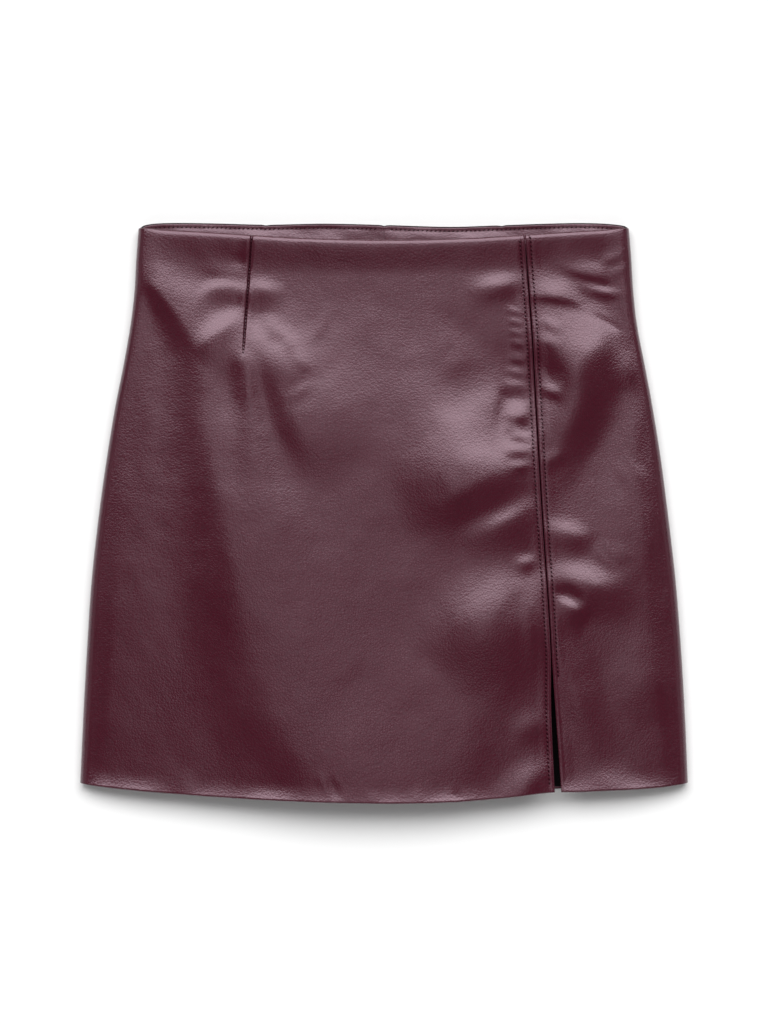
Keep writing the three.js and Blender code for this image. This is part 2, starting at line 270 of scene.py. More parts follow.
SEAM_PUCKERS = (
    Fold(97, 150, -20, 9, 2, 1.8, 0.6),
    Fold(98, 142, -20, 8, 2, 1.8, 0.6),
    Fold(99, 134, -16, 8, 2, 1.8, 0.6),
    Fold(100, 126, -14, 8, 2.4, 2, 0.6),
    Fold(100, 114, -12, 9, 3, 2.2, 0.7),
    Fold(99, 104, -14, 12, 3, 2.2, 0.9),
    Fold(98, 94, -12, 14, 5, 4.5, 1.5),
    Fold(99, 72, -6, 13, 8, 5, 2.2, 2),
    Fold(97, 62, -24, 10, 3.5, 3.4, 0.9),
    Fold(101, 56, -5, 11, 2.6, 3, 0.9),
    Fold(100, 46, -6, 14, 4, 4, 1.1),
    Fold(102, 34, 6, 11, 3, 3, 0.6),
    Fold(81, 85, 79, 40, 13, 6.5, 2.5),
    Fold(122, 106, 128, 20, 5, 8, -1.6),
    Fold(124, 126, -30, 12, 4, 3, 0.6),
    Fold(124, 140, -34, 12, 3, 3, 0.5),
    Fold(125, 90, -20, 14, 3, 3, 0.7),
    Fold(127, 40, 30, 13, 4, 4, 0.8),
)
MIDDLE_FOLDS = (
    Fold(84, 168, 12, 26, 5.5, 6, 1.7),
    Fold(56, 110, 30, 26, 7, 9, 0.4),
    Fold(60, 136, -40, 30, 9, 9, -0.8),
    Fold(89, -10, 28, 40, 7, 13, 3.2, 2),
    Fold(106, -38, 10, 12, 3.5, 4, 1.0, 2),
    Fold(110, -78, -86, 44, 8, 5, 1.1),
    Fold(110, -160, 26, 20, 7, 8, 1.3),
    Fold(107, -203, 36, 30, 9, 9, 3.0),
    Fold(20, 60, 80, 90, 24, 24, 0.9),
)
SIDE_FOLDS = (
    Fold(128, 161, -8, 26, 8, 2.8, 1.9, -3),
    Fold(152, 178, -15, 32, 8, 2.6, 1.5, 4),
    Fold(164, 164, -12, 24, 3, 2.4, 1.1, 5),
    Fold(174, 191, 24, 14, 3, 3, 1.3, 2),
    Fold(178, 181, 26, 12, 3, 2.6, 0.9, 2),
    Fold(168, 141, -26, 22, 2, 2, -0.5),
    Fold(187, 108, 66, 22, 8, 6, 1.8),
    Fold(190, 66, 78, 36, 8, 6, 0.8),
    Fold(187, 32, 124, 18, 3, 3, 0.45),
    Fold(180, 27, 124, 20, 3, 3, 0.45),
    Fold(137, -17, -14, 24, 6, 7, 1.7),
    Fold(149, -56, -12, 44, 10, 13, 4.0),
    Fold(164, -34, -52, 15, 2, 2.2, 0.6, 2),
    Fold(171, -31, -52, 15, 2, 2.2, 0.65, 2),
    Fold(179, -30, -52, 13, 2, 2, 0.45, 2),
    Fold(137, -62, -26, 16, 4.5, 3.5, -1.7),
    Fold(140, -73, -25, 16, 4, 9, 1.9),
    Fold(144, -136, 108, 62, 8, 10, 1.9),
    Fold(196, -128, 14, 34, 20, 18, 1.8),
    Fold(168, -203, 3, 36, 8, 8, 1.4),
)
HEM_FOLDS = (
    Fold(-38, -205, -56, 13, 1.6, 2.4, -0.8),
    Fold(-44, -203, -60, 12, 2, 2, 0.6),
    Fold(56, -213, -70, 8, 1.6, 2, -0.7),
    Fold(-8, -214, 80, 8, 3, 3, 0.4),
    Fold(24, -213, 95, 9, 3, 3, 0.4),
    Fold(-150, -204, 70, 14, 6, 6, 0.6),
)
# The back lies on the table, so its folds only lift it a little.
BACK_FOLDS = (
    Fold(-60, 60, 100, 110, 16, 22, 1.4),
    Fold(72, 20, 78, 130, 20, 14, 1.6),
    Fold(-120, -70, 118, 80, 18, 12, 1.3),
    Fold(120, -90, 60, 70, 14, 18, 1.2),
    Fold(0, 130, 4, 90, 6, 9, 1.1),
    Fold(-30, -150, 15, 80, 9, 14, 0.9),
    Fold(150, 110, 50, 40, 8, 10, 1.0),
    Fold(-150, 120, 128, 44, 8, 10, 1.0),
)


@dataclass(frozen=True)
class Unevenness:
    """The slight waviness of leather that has hung and been folded.

    Attributes:
        waves: How many waves are laid over each other.
        shortest: The shortest wave.
        longest: The longest wave.
        slope: How steep each wave is at its steepest.
        turn: The angle from one wave's direction to the next, in radians.
        seed: What the phases are drawn from.
    """

    waves: int = 60
    shortest: float = 14.0
    longest: float = 110.0
    slope: float = 0.0024
    turn: float = 2.4
    seed: int = 11

    def at(self, x: Grid, y: Grid) -> Grid:
        """The height that the waviness adds.

        Args:
            x: Where to read it, across the skirt.
            y: Where to read it, along the skirt.

        Returns:
            The height at each point.
        """
        draw = np.random.default_rng(self.seed)
        height = np.zeros_like(x)
        for number, length in enumerate(np.geomspace(self.shortest, self.longest, self.waves)):
            angle = number * self.turn + draw.uniform(-0.2, 0.2)
            phase = draw.uniform(0, 2 * math.pi)
            rate = 2 * math.pi / length
            along = x * math.cos(angle) + y * math.sin(angle)
            height += self.slope / rate * np.sin(rate * along + phase)
        return height


@dataclass(frozen=True)
class Pattern:
    """The outline and rise of the laid skirt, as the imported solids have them.

    Attributes:
        left: How far the skirt reaches to its left at each y, and right to its right.
        front_hem: The y of the front's hem at each x. The other three edges follow it.
        seam: The x of the seam between the front panels at each y.
        slit: How wide the seam stands open at each y.
        arch: How high the front arches at each y.
        arch_centre: Where the arch is highest, as a share of the half width.
        slit_top: The y at which the slit ends.
        seam_gap: The gap between two panels that are sewn together.
        side_height: The height of the side seams over the table.
        front_roll: The radius of the front above each side seam.
        cloth: The cloth's thickness.
        turned_under: How much thicker it is where an edge is turned under.
        hem_turn: The depth of the hem's turning, and edge_turn that of the other edges.
        dart_top: The x and y of the dart's top, and dart_tip those of its tip.
    """

    left: Curve = Curve((
        (218, 183.8), (190, 186), (165, 187.4), (140, 190.4), (110, 195.6), (80, 201.6),
        (40, 208.2), (0, 213.8), (-50, 219.4), (-100, 222.8), (-150, 225.6), (-218, 228.7),
    ))
    right: Curve = Curve((
        (218, 183.4), (190, 185.6), (165, 187.2), (140, 190), (110, 195.8), (80, 201.4),
        (40, 207.8), (0, 213), (-50, 218.8), (-100, 222.8), (-150, 225.8), (-218, 228.7),
    ))
    front_hem: Curve = Curve((
        (-228, -203.4), (-215, -205.2), (-170, -209.6), (-110, -213.6), (-50, -216.2),
        (10, -217.2), (60, -215.6), (100, -212.4), (127, -209.4), (150, -209),
        (205, -206.2), (228, -203.4),
    ))
    front_waist: Curve = Curve((
        (-184, 213), (-160, 211.8), (-120, 209.2), (-80, 206.4), (-40, 204.6), (10, 204),
        (60, 205.2), (100, 207.6), (140, 210.4), (184, 213),
    ))
    back_hem: Curve = Curve((
        (-228, -203.4), (-120, -208.2), (0, -209.8), (120, -208.2), (228, -203.4),
    ))
    back_waist: Curve = Curve((
        (-184, 213), (-181, 215.2), (-172, 216.8), (-155, 217.3), (-125, 216.9), (-88, 216),
        (-45, 216.8), (0, 215.8), (50, 214.4), (88, 215.6), (140, 217.2), (165, 216.8),
        (181, 215), (184, 213),
    ))
    seam: Curve = Curve((
        (218, 104.4), (166, 108.4), (130, 110.9), (60, 114.7), (-10, 118.8), (-80, 123.5),
        (-107, 124.9), (-140, 126.1), (-175, 128), (-218, 130.6),
    ))
    slit: Curve = Curve((
        (218, 0), (-80, 0), (-107, 0), (-140, 2.6), (-175, 4), (-218, 5),
    ))
    arch: Curve = Curve(((218, 8.5), (150, 11), (0, 14), (-150, 13.5), (-218, 12.5)))
    arch_centre: float = -0.08
    slit_top: float = -107
    seam_gap: float = 0.12
    side_height: float = 5.0
    front_roll: float = 7.0
    cloth: float = 1.4
    turned_under: float = 0.8
    hem_turn: float = 22.0
    edge_turn: float = 8.0
    dart_top: tuple[float, float] = (-99.0, 206.0)
    dart_tip: tuple[float, float] = (-105.4, 116.0)

    @property
    def back_roll(self) -> float:
        """The radius of the back below each side seam."""
        return self.side_height - self.seam_gap / 2

    def half_width(self, side: Side, y: Grid) -> Grid:
        """How far the skirt reaches on one side at each y."""
        return (self.left if side is Side.LEFT else self.right).at(y)

    def edge(self, layer: Layer, share: Grid, x: Grid) -> Grid:
        """The y at each x, a share of the way from a layer's hem to its waist."""
        hem, waist = self.edges(layer)
        return hem.at(x) + (waist.at(x) - hem.at(x)) * share

    def edges(self, layer: Layer) -> tuple[Curve, Curve]:
        """The edges of a layer.

        Args:
            layer: The front or the back.

        Returns:
            Its hem and its waist.
        """
        if layer is Layer.FRONT:
            return self.front_hem, self.front_waist
        return self.back_hem, self.back_waist

    def seam_edge(self, side: Side, y: Grid) -> Grid:
        """The x of the seam's edge on one of the two front panels."""
        return self.seam.at(y) + side.value * np.maximum(self.seam_gap, self.slit.at(y)) / 2

    def dart_x(self, y: Grid) -> Grid:
        """The x of the dart's line, which runs on below its tip."""
        return self.dart_tip[0] + (self.dart_top[0] - self.dart_tip[0]) * self.dart_share(y)

    def dart_share(self, y: Grid) -> Grid:
        """How far up the dart each y is, from 0 at its tip to 1 at its top."""
        return (y - self.dart_tip[1]) / (self.dart_top[1] - self.dart_tip[1])


@dataclass(frozen=True)
class Columns:
    """The columns of a panel's grid, between lines that run along the panel.

    Attributes:
        steps: For each space between two lines, the shares at which columns stand.
        lines: Gives the girth of every line at each y.
    """

    steps: tuple[tuple[float, ...], ...]
    lines: Callable[[Grid], list[Grid]]

    @property
    def places(self) -> tuple[Grid, Grid]:
        """Where the columns stand.

        Returns:
            The number of the line before each column, and the share of the way to the next.
        """
        line = [k for k, shares in enumerate(self.steps) for _ in shares]
        share = [s for shares in self.steps for s in shares]
        return np.array(line + [len(self.steps) - 1]), np.array(share + [1.0])

    def girth(self, y: Grid) -> Grid:
        """The girth of each column from the side seam.

        Args:
            y: The y of every point, in rows and columns.

        Returns:
            The girths, in the same rows and columns.
        """
        line, share = self.places
        lines = np.stack(self.lines(y), axis=-1)
        which = np.broadcast_to(line, y.shape)[..., None]
        start = np.take_along_axis(lines, which, -1)[..., 0]
        end = np.take_along_axis(lines, which + 1, -1)[..., 0]
        return start + (end - start) * share


def even(length: float, step: float) -> tuple[float, ...]:
    """Even shares of a length, about a step apart, without the last."""
    count = max(1, round(length / step))
    return tuple(k / count for k in range(count))


def placed(*distances: float) -> tuple[float, ...]:
    """Distances as shares of the last one, which is left out."""
    return tuple(d / distances[-1] for d in distances[:-1])


def mirrored(*distances: float) -> tuple[float, ...]:
    """The same distances counted from the far end, as shares."""
    whole = distances[-1]
    return placed(*(whole - d for d in reversed(distances)))


@dataclass
class Shell:
    """A thin closed wall between two grids of points.

    Attributes:
        name: The piece's name.
        outer: The points of its right side, in rows and columns.
        inner: The points of its wrong side.
        joined: Where the two are one point, on a rounded edge.
        backing: Which cells of the wrong side show the knitted backing.
        flip: Whether the grid runs clockwise, seen from its right side.
    """

    name: str
    outer: Grid
    inner: Grid
    joined: Grid
    backing: Grid
    flip: bool

    def faces(self) -> tuple[Grid, Grid]:
        """The wall's faces.

        Returns:
            The point numbers of each face's four corners, and each face's material.
        """
        rows, columns = self.joined.shape
        out = np.arange(rows * columns).reshape(rows, columns)
        inn = np.where(self.joined, out, out + rows * columns)
        front = [out[:-1, :-1], out[:-1, 1:], out[1:, 1:], out[1:, :-1]]
        back = [inn[:-1, :-1], inn[1:, :-1], inn[1:, 1:], inn[:-1, 1:]]
        rims = [
            [out[:-1, 0], out[1:, 0], inn[1:, 0], inn[:-1, 0]],
            [out[1:, -1], out[:-1, -1], inn[:-1, -1], inn[1:, -1]],
            [out[0, 1:], out[0, :-1], inn[0, :-1], inn[0, 1:]],
            [out[-1, :-1], out[-1, 1:], inn[-1, 1:], inn[-1, :-1]],
        ]
        quads = [np.stack([c.ravel() for c in group], 1) for group in (front, back, *rims)]
        kinds = [np.zeros(len(q), int) for q in quads]
        kinds[1] = self.backing.ravel().astype(int)
        faces = np.concatenate(quads)
        return (faces[:, ::-1] if self.flip else faces), np.concatenate(kinds)

    def build(self, materials: list[bpy.types.Material]) -> bpy.types.Object:
        """Makes the piece.

        Args:
            materials: The right side's material, then the backing's.

        Returns:
            The new object.
        """
        quads, kinds = self.faces()
        faces, slots = [], []
        for quad, kind in zip(quads.tolist(), kinds.tolist()):
            corners = list(dict.fromkeys(quad))
            if len(corners) > 2:
                faces.append(corners)
                slots.append(kind)
        points = np.concatenate([self.outer.reshape(-1, 3), self.inner.reshape(-1, 3)])
        used, numbers = np.unique(np.concatenate([np.array(f) for f in faces]), return_inverse=True)
        ends = np.cumsum([len(f) for f in faces])
        renumbered = [part.tolist() for part in np.split(numbers, ends[:-1])]
        return make_piece(self.name, points[used], renumbered, materials, slots)


def make_piece(
    name: str,
    points: Grid,
    faces: list[list[int]],
    materials: list[bpy.types.Material],
    slots: list[int] | None = None,
) -> bpy.types.Object:
    """Makes a smooth mesh object.

    Args:
        name: Its name.
        points: Its points, in millimetres.
        faces: Its faces, by point number.
        materials: Its materials.
        slots: Each face's material number, or all the first.

    Returns:
        The new object, in the scene.
    """
    mesh = bpy.data.meshes.new(name)
    mesh.from_pydata((points * MM).tolist(), [], faces)
    for material in materials:
        mesh.materials.append(material)
    if slots is not None:
        mesh.polygons.foreach_set("material_index", slots)
    mesh.polygons.foreach_set("use_smooth", [True] * len(mesh.polygons))
    mesh.update()
    piece = bpy.data.objects.new(name, mesh)
    bpy.context.scene.collection.objects.link(piece)
    return piece


def normals_of(points: Grid, turn: int) -> Grid:
    """Unit normals of a grid of points.

    Args:
        points: The points, in rows and columns.
        turn: +1 or -1, the side on which they stand.

    Returns:
        A normal for each point.
    """
    across = np.gradient(points, axis=1)
    along = np.gradient(points, axis=0)
    normal = np.cross(across, along) * turn
    return normal / np.linalg.norm(normal, axis=-1, keepdims=True)


def edge_drop(distance: Grid, radius: Grid) -> Grid:
    """How far a round edge falls at a distance in from its tip."""
    t = 1 - np.clip(distance / radius, 0, 1)
    return radius * (1 - np.sqrt(1 - t * t))


# How far the rows beside a free edge lie in from it.
FINE_EDGE = (0, 0.12, 0.35, 0.7, 1.1, 1.7, 2.6, 4.0)


@dataclass
class Panel:
    """What the front and back panels share: a grid on the skirt's rolled and arched form.

    Attributes:
        name: The piece's name.
        side: The side seam that it starts from.
        layer: The layer that it belongs to.
        columns: Its columns.
        pattern: The skirt's outline.
        row_step: How far apart its rows are.
        creased: The stretch with closer rows, from the hem.
        creased_step: How far apart its rows are there.
    """

    name: str
    side: Side
    layer: Layer
    columns: Columns
    pattern: Pattern
    row_step: float = 3.0
    creased: tuple[float, float] = (150.0, 402.0)
    creased_step: float = 1.75

    @property
    def roll(self) -> float:
        """The radius of the fold at this panel's side seam."""
        return self.pattern.front_roll if self.layer is Layer.FRONT else self.pattern.back_roll

    @property
    def shares(self) -> Grid:
        """The rows, closer at both edges and where the creases are.

        Returns:
            Their places, as shares of the way from hem to waist.
        """
        low, high = self.creased
        rows = [
            np.array(FINE_EDGE[:-1]),
            np.arange(FINE_EDGE[-1], low, self.row_step),
            np.arange(low, high, self.creased_step),
            np.arange(high, LENGTH - FINE_EDGE[-1], self.row_step),
            LENGTH - np.array(FINE_EDGE[::-1]),
        ]
        return np.concatenate(rows) / LENGTH

    def inset(self, girth: Grid) -> Grid:
        """How far in from the side a point lies.

        Args:
            girth: How far round from the side seam it is.

        Returns:
            Its distance from the side, seen from above.
        """
        corner = math.pi / 2 * self.roll
        rounded = self.roll * (1 - np.cos(np.minimum(girth, corner) / self.roll))
        return rounded + np.maximum(girth - corner, 0)

    def plan(self, shares: Grid) -> tuple[Grid, Grid, Grid]:
        """Where each point of the grid lies, seen from above.

        Args:
            shares: The rows.

        Returns:
            The x, the y and the girth of every point.
        """
        p = self.pattern
        line, _ = self.columns.places
        share = np.broadcast_to(shares[:, None], (len(shares), len(line)))
        y = HEM_Y + LENGTH * share
        for _ in range(5):
            girth = self.columns.girth(y)
            x = self.side.value * (p.half_width(self.side, y) - self.inset(girth))
            y = p.edge(self.layer, share, x)
        return x, y, girth

    def climbed(self, girth: Grid) -> Grid:
        """How much of the fold's radius each point has climbed."""
        return np.sin(np.minimum(girth / self.roll, math.pi / 2))

    def from_edges(self, x: Grid, y: Grid) -> tuple[Grid, Grid]:
        """How far each point lies in from the hem and from the waist."""
        hem, waist = self.pattern.edges(self.layer)
        return y - hem.at(x), waist.at(x) - y


@dataclass
class FrontPanel(Panel):
    """A panel of the front, with its creases, its turned edges and its share of the seam.

    Attributes:
        folds: Its folds, and drapes its long folds.
        unevenness: Its slight waviness.
        waist_reach: How far in the waist's turned edge shows, and waist_drop how far it falls.
        hem_reach: How far in the hem's turned edge shows, and hem_drop how far it falls.
        dart_depth: The depth of the dart's line, and dart_width half of its width.
        stitch_inset: How far the stitches lie in from the seam.
        sewn_from: The y at which they start.
    """

    folds: tuple[Fold, ...] = (
        LARGE_FOLDS + UPPER_LEFT_FOLDS + DART_FOLDS + SEAM_PUCKERS + MIDDLE_FOLDS + SIDE_FOLDS + HEM_FOLDS
    )
    drapes: tuple[Drape, ...] = DRAPES
    unevenness: Unevenness = Unevenness()
    waist_reach: float = 5.0
    waist_drop: float = 1.6
    hem_reach: float = 14.0
    hem_drop: float = -1.6
    dart_depth: float = 2.0
    dart_width: float = 0.95
    stitch_inset: float = 3.9
    sewn_from: float = -206.0

    def arch(self, x: Grid, y: Grid) -> Grid:
        """How high the front arches over its side folds.

        Args:
            x: Where to read it, across the skirt.
            y: Where to read it, along the skirt.

        Returns:
            The arch's height at each point.
        """
        p = self.pattern
        right, left = p.half_width(Side.RIGHT, y), p.half_width(Side.LEFT, y)
        across = np.clip((x - (right - left) / 2) / ((right + left) / 2), -1, 1)
        reach = np.where(across < p.arch_centre, 1 + p.arch_centre, 1 - p.arch_centre)
        return p.arch.at(y) * (1 - ((across - p.arch_centre) / reach) ** 2)

    def sewn(self, x: Grid, y: Grid) -> Grid:
        """How the seam and the dart shape the cloth beside them.

        Args:
            x: Where to read it, across the skirt.
            y: Where to read it, along the skirt.

        Returns:
            How much they lift the cloth at each point.
        """
        p = self.pattern
        from_seam = np.abs(x - p.seam_edge(self.side, y))
        allowance = 0.2 * (1 - smooth(from_seam, 6, 11))
        drawn_in = smooth(y, self.sewn_from, self.sewn_from + 4)
        groove = 0.25 * bell(from_seam - self.stitch_inset, 0.6) * drawn_in
        roll = 0.3 * bell(from_seam - 1.9, 0.8)
        closed = smooth(y, p.slit_top - 25, p.slit_top)
        ditch = 0.9 * closed * np.clip(1 - from_seam / 0.7, 0, None) ** 1.5
        from_dart = np.abs(x - p.dart_x(y))
        pleat = self.dart_fall(y) * np.clip(1 - from_dart / self.dart_width, 0, None)
        pillow = 0.45 * smooth(p.dart_share(y), 0.02, 0.3) * bell(from_dart - 3, 1.8)
        return allowance - groove + roll - ditch - pleat + pillow

    def dart_fall(self, y: Grid) -> Grid:
        """How deep the dart's line is at each y."""
        return self.dart_depth * smooth(self.pattern.dart_share(y), -0.03, 0.2)

    def surface(self, shares: Grid) -> tuple[Grid, Grid]:
        """The right side of the panel.

        Args:
            shares: The rows.

        Returns:
            The points, and the girth of each.
        """
        p = self.pattern
        x, y, girth = self.plan(shares)
        from_hem, from_waist = self.from_edges(x, y)
        half_gap = p.seam_gap / 2
        rolled = p.side_height + half_gap + (self.roll - half_gap) * self.climbed(girth)
        clear = smooth(self.inset(girth), 0, 3 * self.roll)
        edges = self.waist_drop * np.clip(1 - from_waist / self.waist_reach, 0, None) ** 2
        hand_sewn = 1 + 0.25 * np.sin(x / 21 - 0.6) + 0.15 * np.sin(x / 7.3 + 1)
        edges += self.hem_drop * hand_sewn * np.clip(1 - from_hem / self.hem_reach, 0, None) ** 2
        creases = sum(fold.rise(x, y) for fold in self.folds + self.drapes)
        creases = creases + self.unevenness.at(x, y)
        z = rolled + self.arch(x, y) + clear * (creases - edges) + self.sewn(x, y)
        return np.stack([x, y, z], -1), girth

    def cloth(self, x: Grid, y: Grid) -> tuple[Grid, Grid]:
        """The wall's make-up.

        Args:
            x: Where to read it, across the skirt.
            y: Where to read it, along the skirt.

        Returns:
            The wall's thickness, and a share that is 1 where its edge is turned under.
        """
        p = self.pattern
        from_hem, from_waist = self.from_edges(x, y)
        from_seam = np.abs(x - p.seam.at(y))
        turned = np.maximum.reduce([
            1 - smooth(from_hem, p.hem_turn - 2, p.hem_turn + 2),
            1 - smooth(from_waist, p.edge_turn, p.edge_turn + 4),
            1 - smooth(from_seam, p.edge_turn, p.edge_turn + 4),
        ])
        from_side = p.half_width(self.side, y) - np.abs(x)
        return p.cloth + p.turned_under * turned * smooth(from_side, 1, 3 * self.roll), turned

    def shell(self) -> Shell:
        """Makes the panel's wall, with its free edges rounded.

        Returns:
            The wall.
        """
        points, girth = self.surface(self.shares)
        x, y = points[..., 0], points[..., 1]
        thickness, turned = self.cloth(x, y)
        normal = normals_of(points, -self.side.value)
        from_hem, from_waist = self.from_edges(x, y)
        from_seam = np.abs(x - self.pattern.seam_edge(self.side, y))
        half = thickness / 2
        drop = np.maximum.reduce([
            edge_drop(from_hem, half),
            edge_drop(from_waist, half),
            edge_drop(from_seam, np.full_like(girth, 0.45)),
            edge_drop(girth, np.full_like(girth, 0.4)),
        ])
        cells = turned[:-1, :-1] < 0.5
        return Shell(
            self.name,
            points - normal * drop[..., None],
            points - normal * (thickness - drop)[..., None],
            drop > half - 1e-4,
            cells,
            self.side is Side.RIGHT,
        )

    def stitch_line(self) -> tuple[Grid, Grid]:
        """Finds the stitched line along the seam's edge.

        Returns:
            Its points, and the cloth's normals there.
        """
        points, _ = self.surface(self.shares)
        normal = normals_of(points, -self.side.value)
        from_seam = np.abs(points[..., 0] - self.pattern.seam_edge(self.side, points[..., 1]))
        column = int(np.argmin(np.abs(from_seam.mean(0) - self.stitch_inset)))
        sewn = points[:, column, 1] > self.sewn_from
        return points[sewn, column], normal[sewn, column]

    def dart_line(self) -> tuple[Grid, Grid]:
        """Finds the line of small stitches in the dart.

        Returns:
            Its points, and the cloth's normals there.
        """
        p = self.pattern
        points, _ = self.surface(self.shares)
        normal = normals_of(points, -self.side.value)
        column = int(np.argmin(np.abs(points[..., 0] - p.dart_x(points[..., 1])).mean(0)))
        line, up = points[:, column], normal[:, column]
        line[:, 2] += 0.8 * self.dart_fall(line[:, 1])
        sewn = p.dart_share(line[:, 1]) > 0
        return line[sewn], up[sewn]


@dataclass
class BackPanel(Panel):
    """A panel of the back, which lies on the table and rounds up to the side seam.

    Attributes:
        folds: Its slight folds.
        dart_x: How far its dart is from the centre.
        dart_length: The dart's length, from the waist.
        hem_leather_before_shade: How far in the hem's edge shows leather on the inside. Past it the inside
            shows the near-black backing, as painted shade under the front.
    """

    folds: tuple[Fold, ...] = BACK_FOLDS
    row_step: float = 3.4
    creased_step: float = 3.4
    dart_x: float = 88.0
    dart_length: float = 120.0
    hem_leather_before_shade: float = 1.5

    def surface(self, shares: Grid) -> tuple[Grid, Grid]:
        """The right side of the panel, which faces the table.

        Args:
            shares: The rows.

        Returns:
            The points, and the girth of each.
        """
        x, y, girth = self.plan(shares)
        from_hem, from_waist = self.from_edges(x, y)
        inset = self.inset(girth)
        lifted = smooth(inset, 10, 30) * smooth(from_hem, 0, 24)
        lifted = lifted * smooth(from_waist, 2, 40) * smooth(np.abs(x), 0, 16)
        creases = sum(fold.rise(x, y) for fold in self.folds)
        beside = np.abs(x) - self.dart_x
        sewn = smooth(self.dart_length - from_waist, 0, 20)
        dart = sewn * 0.8 * np.clip(1 - np.abs(beside) / 1.8, 0, None)
        z = self.roll * (1 - self.climbed(girth)) + lifted * np.maximum(creases, 0) + dart
        notch = 0.7 * bell(beside, 1.4) + 0.6 * bell(x, 1.6)
        y = y - notch * (1 - smooth(from_waist, 0, 6))
        return np.stack([x, y, z], -1), girth

    def shell(self) -> Shell:
        """Makes the panel's wall, with its free edges rounded.

        Returns:
            The wall.
        """
        points, girth = self.surface(self.shares)
        x, y = points[..., 0], points[..., 1]
        normal = normals_of(points, self.side.value)
        from_hem, from_waist = self.from_edges(x, y)
        thickness = np.full_like(x, self.pattern.cloth)
        half = thickness / 2
        from_waist = np.where(np.arange(len(x))[:, None] == len(x) - 1, 0, from_waist)
        drop = np.maximum.reduce([
            edge_drop(np.maximum(from_hem, 0), half),
            edge_drop(np.maximum(from_waist, 0), half),
            edge_drop(np.abs(x) - self.pattern.seam_gap / 2, np.full_like(x, 0.5)),
            edge_drop(girth, np.full_like(girth, 0.4)),
        ])
        return Shell(
            self.name,
            points - normal * drop[..., None],
            points - normal * (thickness - drop)[..., None],
            drop > half - 1e-4,
            # Painted shade: past a narrow strip at the hem, the back's inside shows the near-black backing
            # in place of turned-under leather.
            (from_hem > self.hem_leather_before_shade)[:-1, :-1],
            self.side is Side.LEFT,
        )


@dataclass
class Facing(BackPanel):
    """The strip of leather that lines the back of the waist.

    Attributes:
        depth: How deep it is, from its top edge to its foot.
        set_back: How far below the back's waist edge it starts.
        lying: How high it lies over the right side of the back.
        thickness: Its own thickness.
        stitch_inset: How far its stitches lie below its top edge.
    """

    row_step: float = 2.0
    depth: float = 38.0
    set_back: float = 0.8
    lying: float = 1.7
    thickness: float = 1.0
    stitch_inset: float = 3.0

    @property
    def strip_shares(self) -> Grid:
        """The rows, from the strip's foot to its top edge.

        Returns:
            Their places, as shares of the way from the back's hem to its waist.
        """
        inward = np.array(FINE_EDGE[:-1])
        middle = np.arange(FINE_EDGE[-1], self.depth - FINE_EDGE[-1], self.row_step)
        down = np.concatenate([self.depth - inward, self.depth - middle, np.array(FINE_EDGE[::-1])])
        return 1 - (self.set_back + down) / BACK_LENGTH

    @property
    def down(self) -> Grid:
        """How far each row lies below the strip's top edge."""
        return (1 - self.strip_shares) * BACK_LENGTH - self.set_back

    def lay(self) -> tuple[Grid, Grid, Grid]:
        """Lays the strip on the inside of the back.

        Returns:
            The points of its underside, the normals there and the points of its upper side.
        """
        points, girth = self.surface(self.strip_shares)
        normal = normals_of(points, self.side.value)
        x, y = points[..., 0], points[..., 1]
        ripple = 0.8 * np.sin(x / 23.0 + y / 3.0) + 0.5 * np.sin(x / 9.0 - y / 4.0)
        ripple = ripple + 0.3 * np.sin(x / 4.1 + y / 2.2)
        calm = smooth(self.inset(girth), 4, 24)
        down = self.down[:, None]
        groove = 0.3 * bell(down - self.stitch_inset, 0.6)
        belly = 0.8 * smooth(down, 1.5, 12) * calm
        lift = self.lying + self.thickness + 0.25 * (ripple + 0.8) * calm + belly - groove
        return points - normal * self.lying, -normal, points - normal * lift[..., None]

    def shell(self) -> Shell:
        """Makes the strip's wall, with its long edges rounded.

        Returns:
            The wall.
        """
        under, _, top = self.lay()
        down = self.down[:, None] + 0 * top[..., 0]
        half = np.full_like(down, self.thickness / 2)
        drop = np.maximum(edge_drop(down, half), edge_drop(self.depth - down, half))
        middle = (under + top) / 2
        share = (drop / half)[..., None]
        return Shell(
            self.name,
            top + (middle - top) * share,
            under + (middle - under) * share,
            drop > half - 1e-4,
            np.ones((top.shape[0] - 1, top.shape[1] - 1), bool),
            self.side is Side.RIGHT,
        )

    def stitch_line(self) -> tuple[Grid, Grid]:
        """Finds the stitched line below the strip's top edge.

        Returns:
            Its points, and the cloth's normals there.
        """
        _, normal, top = self.lay()
        row = int(np.argmin(np.abs(self.down - self.stitch_inset)))
        return top[row], normal[row]


# Along a stitch from end to end: the place, the share of its thickness, and its lift.
STITCH_FORM = ((-1.0, 0.4, -0.5), (-0.72, 0.9, 0.1), (0.0, 1.0, 0.3), (0.72, 0.9, 0.1), (1.0, 0.4, -0.5))
STITCH_SIDES = 6


def tube_faces(first: int, rings: int, sides: int) -> list[list[int]]:
    """The faces of a closed tube of rings.

    Args:
        first: The number of its first point.
        rings: How many rings of points it has.
        sides: How many points a ring has.

    Returns:
        The faces of its side, then its two ends.
    """
    faces = []
    for ring in range(rings - 1):
        for k in range(sides):
            a, b = first + ring * sides + k, first + ring * sides + (k + 1) % sides
            faces.append([a, b, b + sides, a + sides])
    last = first + (rings - 1) * sides
    faces.append([first + k for k in reversed(range(sides))])
    faces.append([last + k for k in range(sides)])
    return faces


def unit(vectors: Grid) -> Grid:
    """The same vectors at length 1."""
    return vectors / np.linalg.norm(vectors, axis=1, keepdims=True)


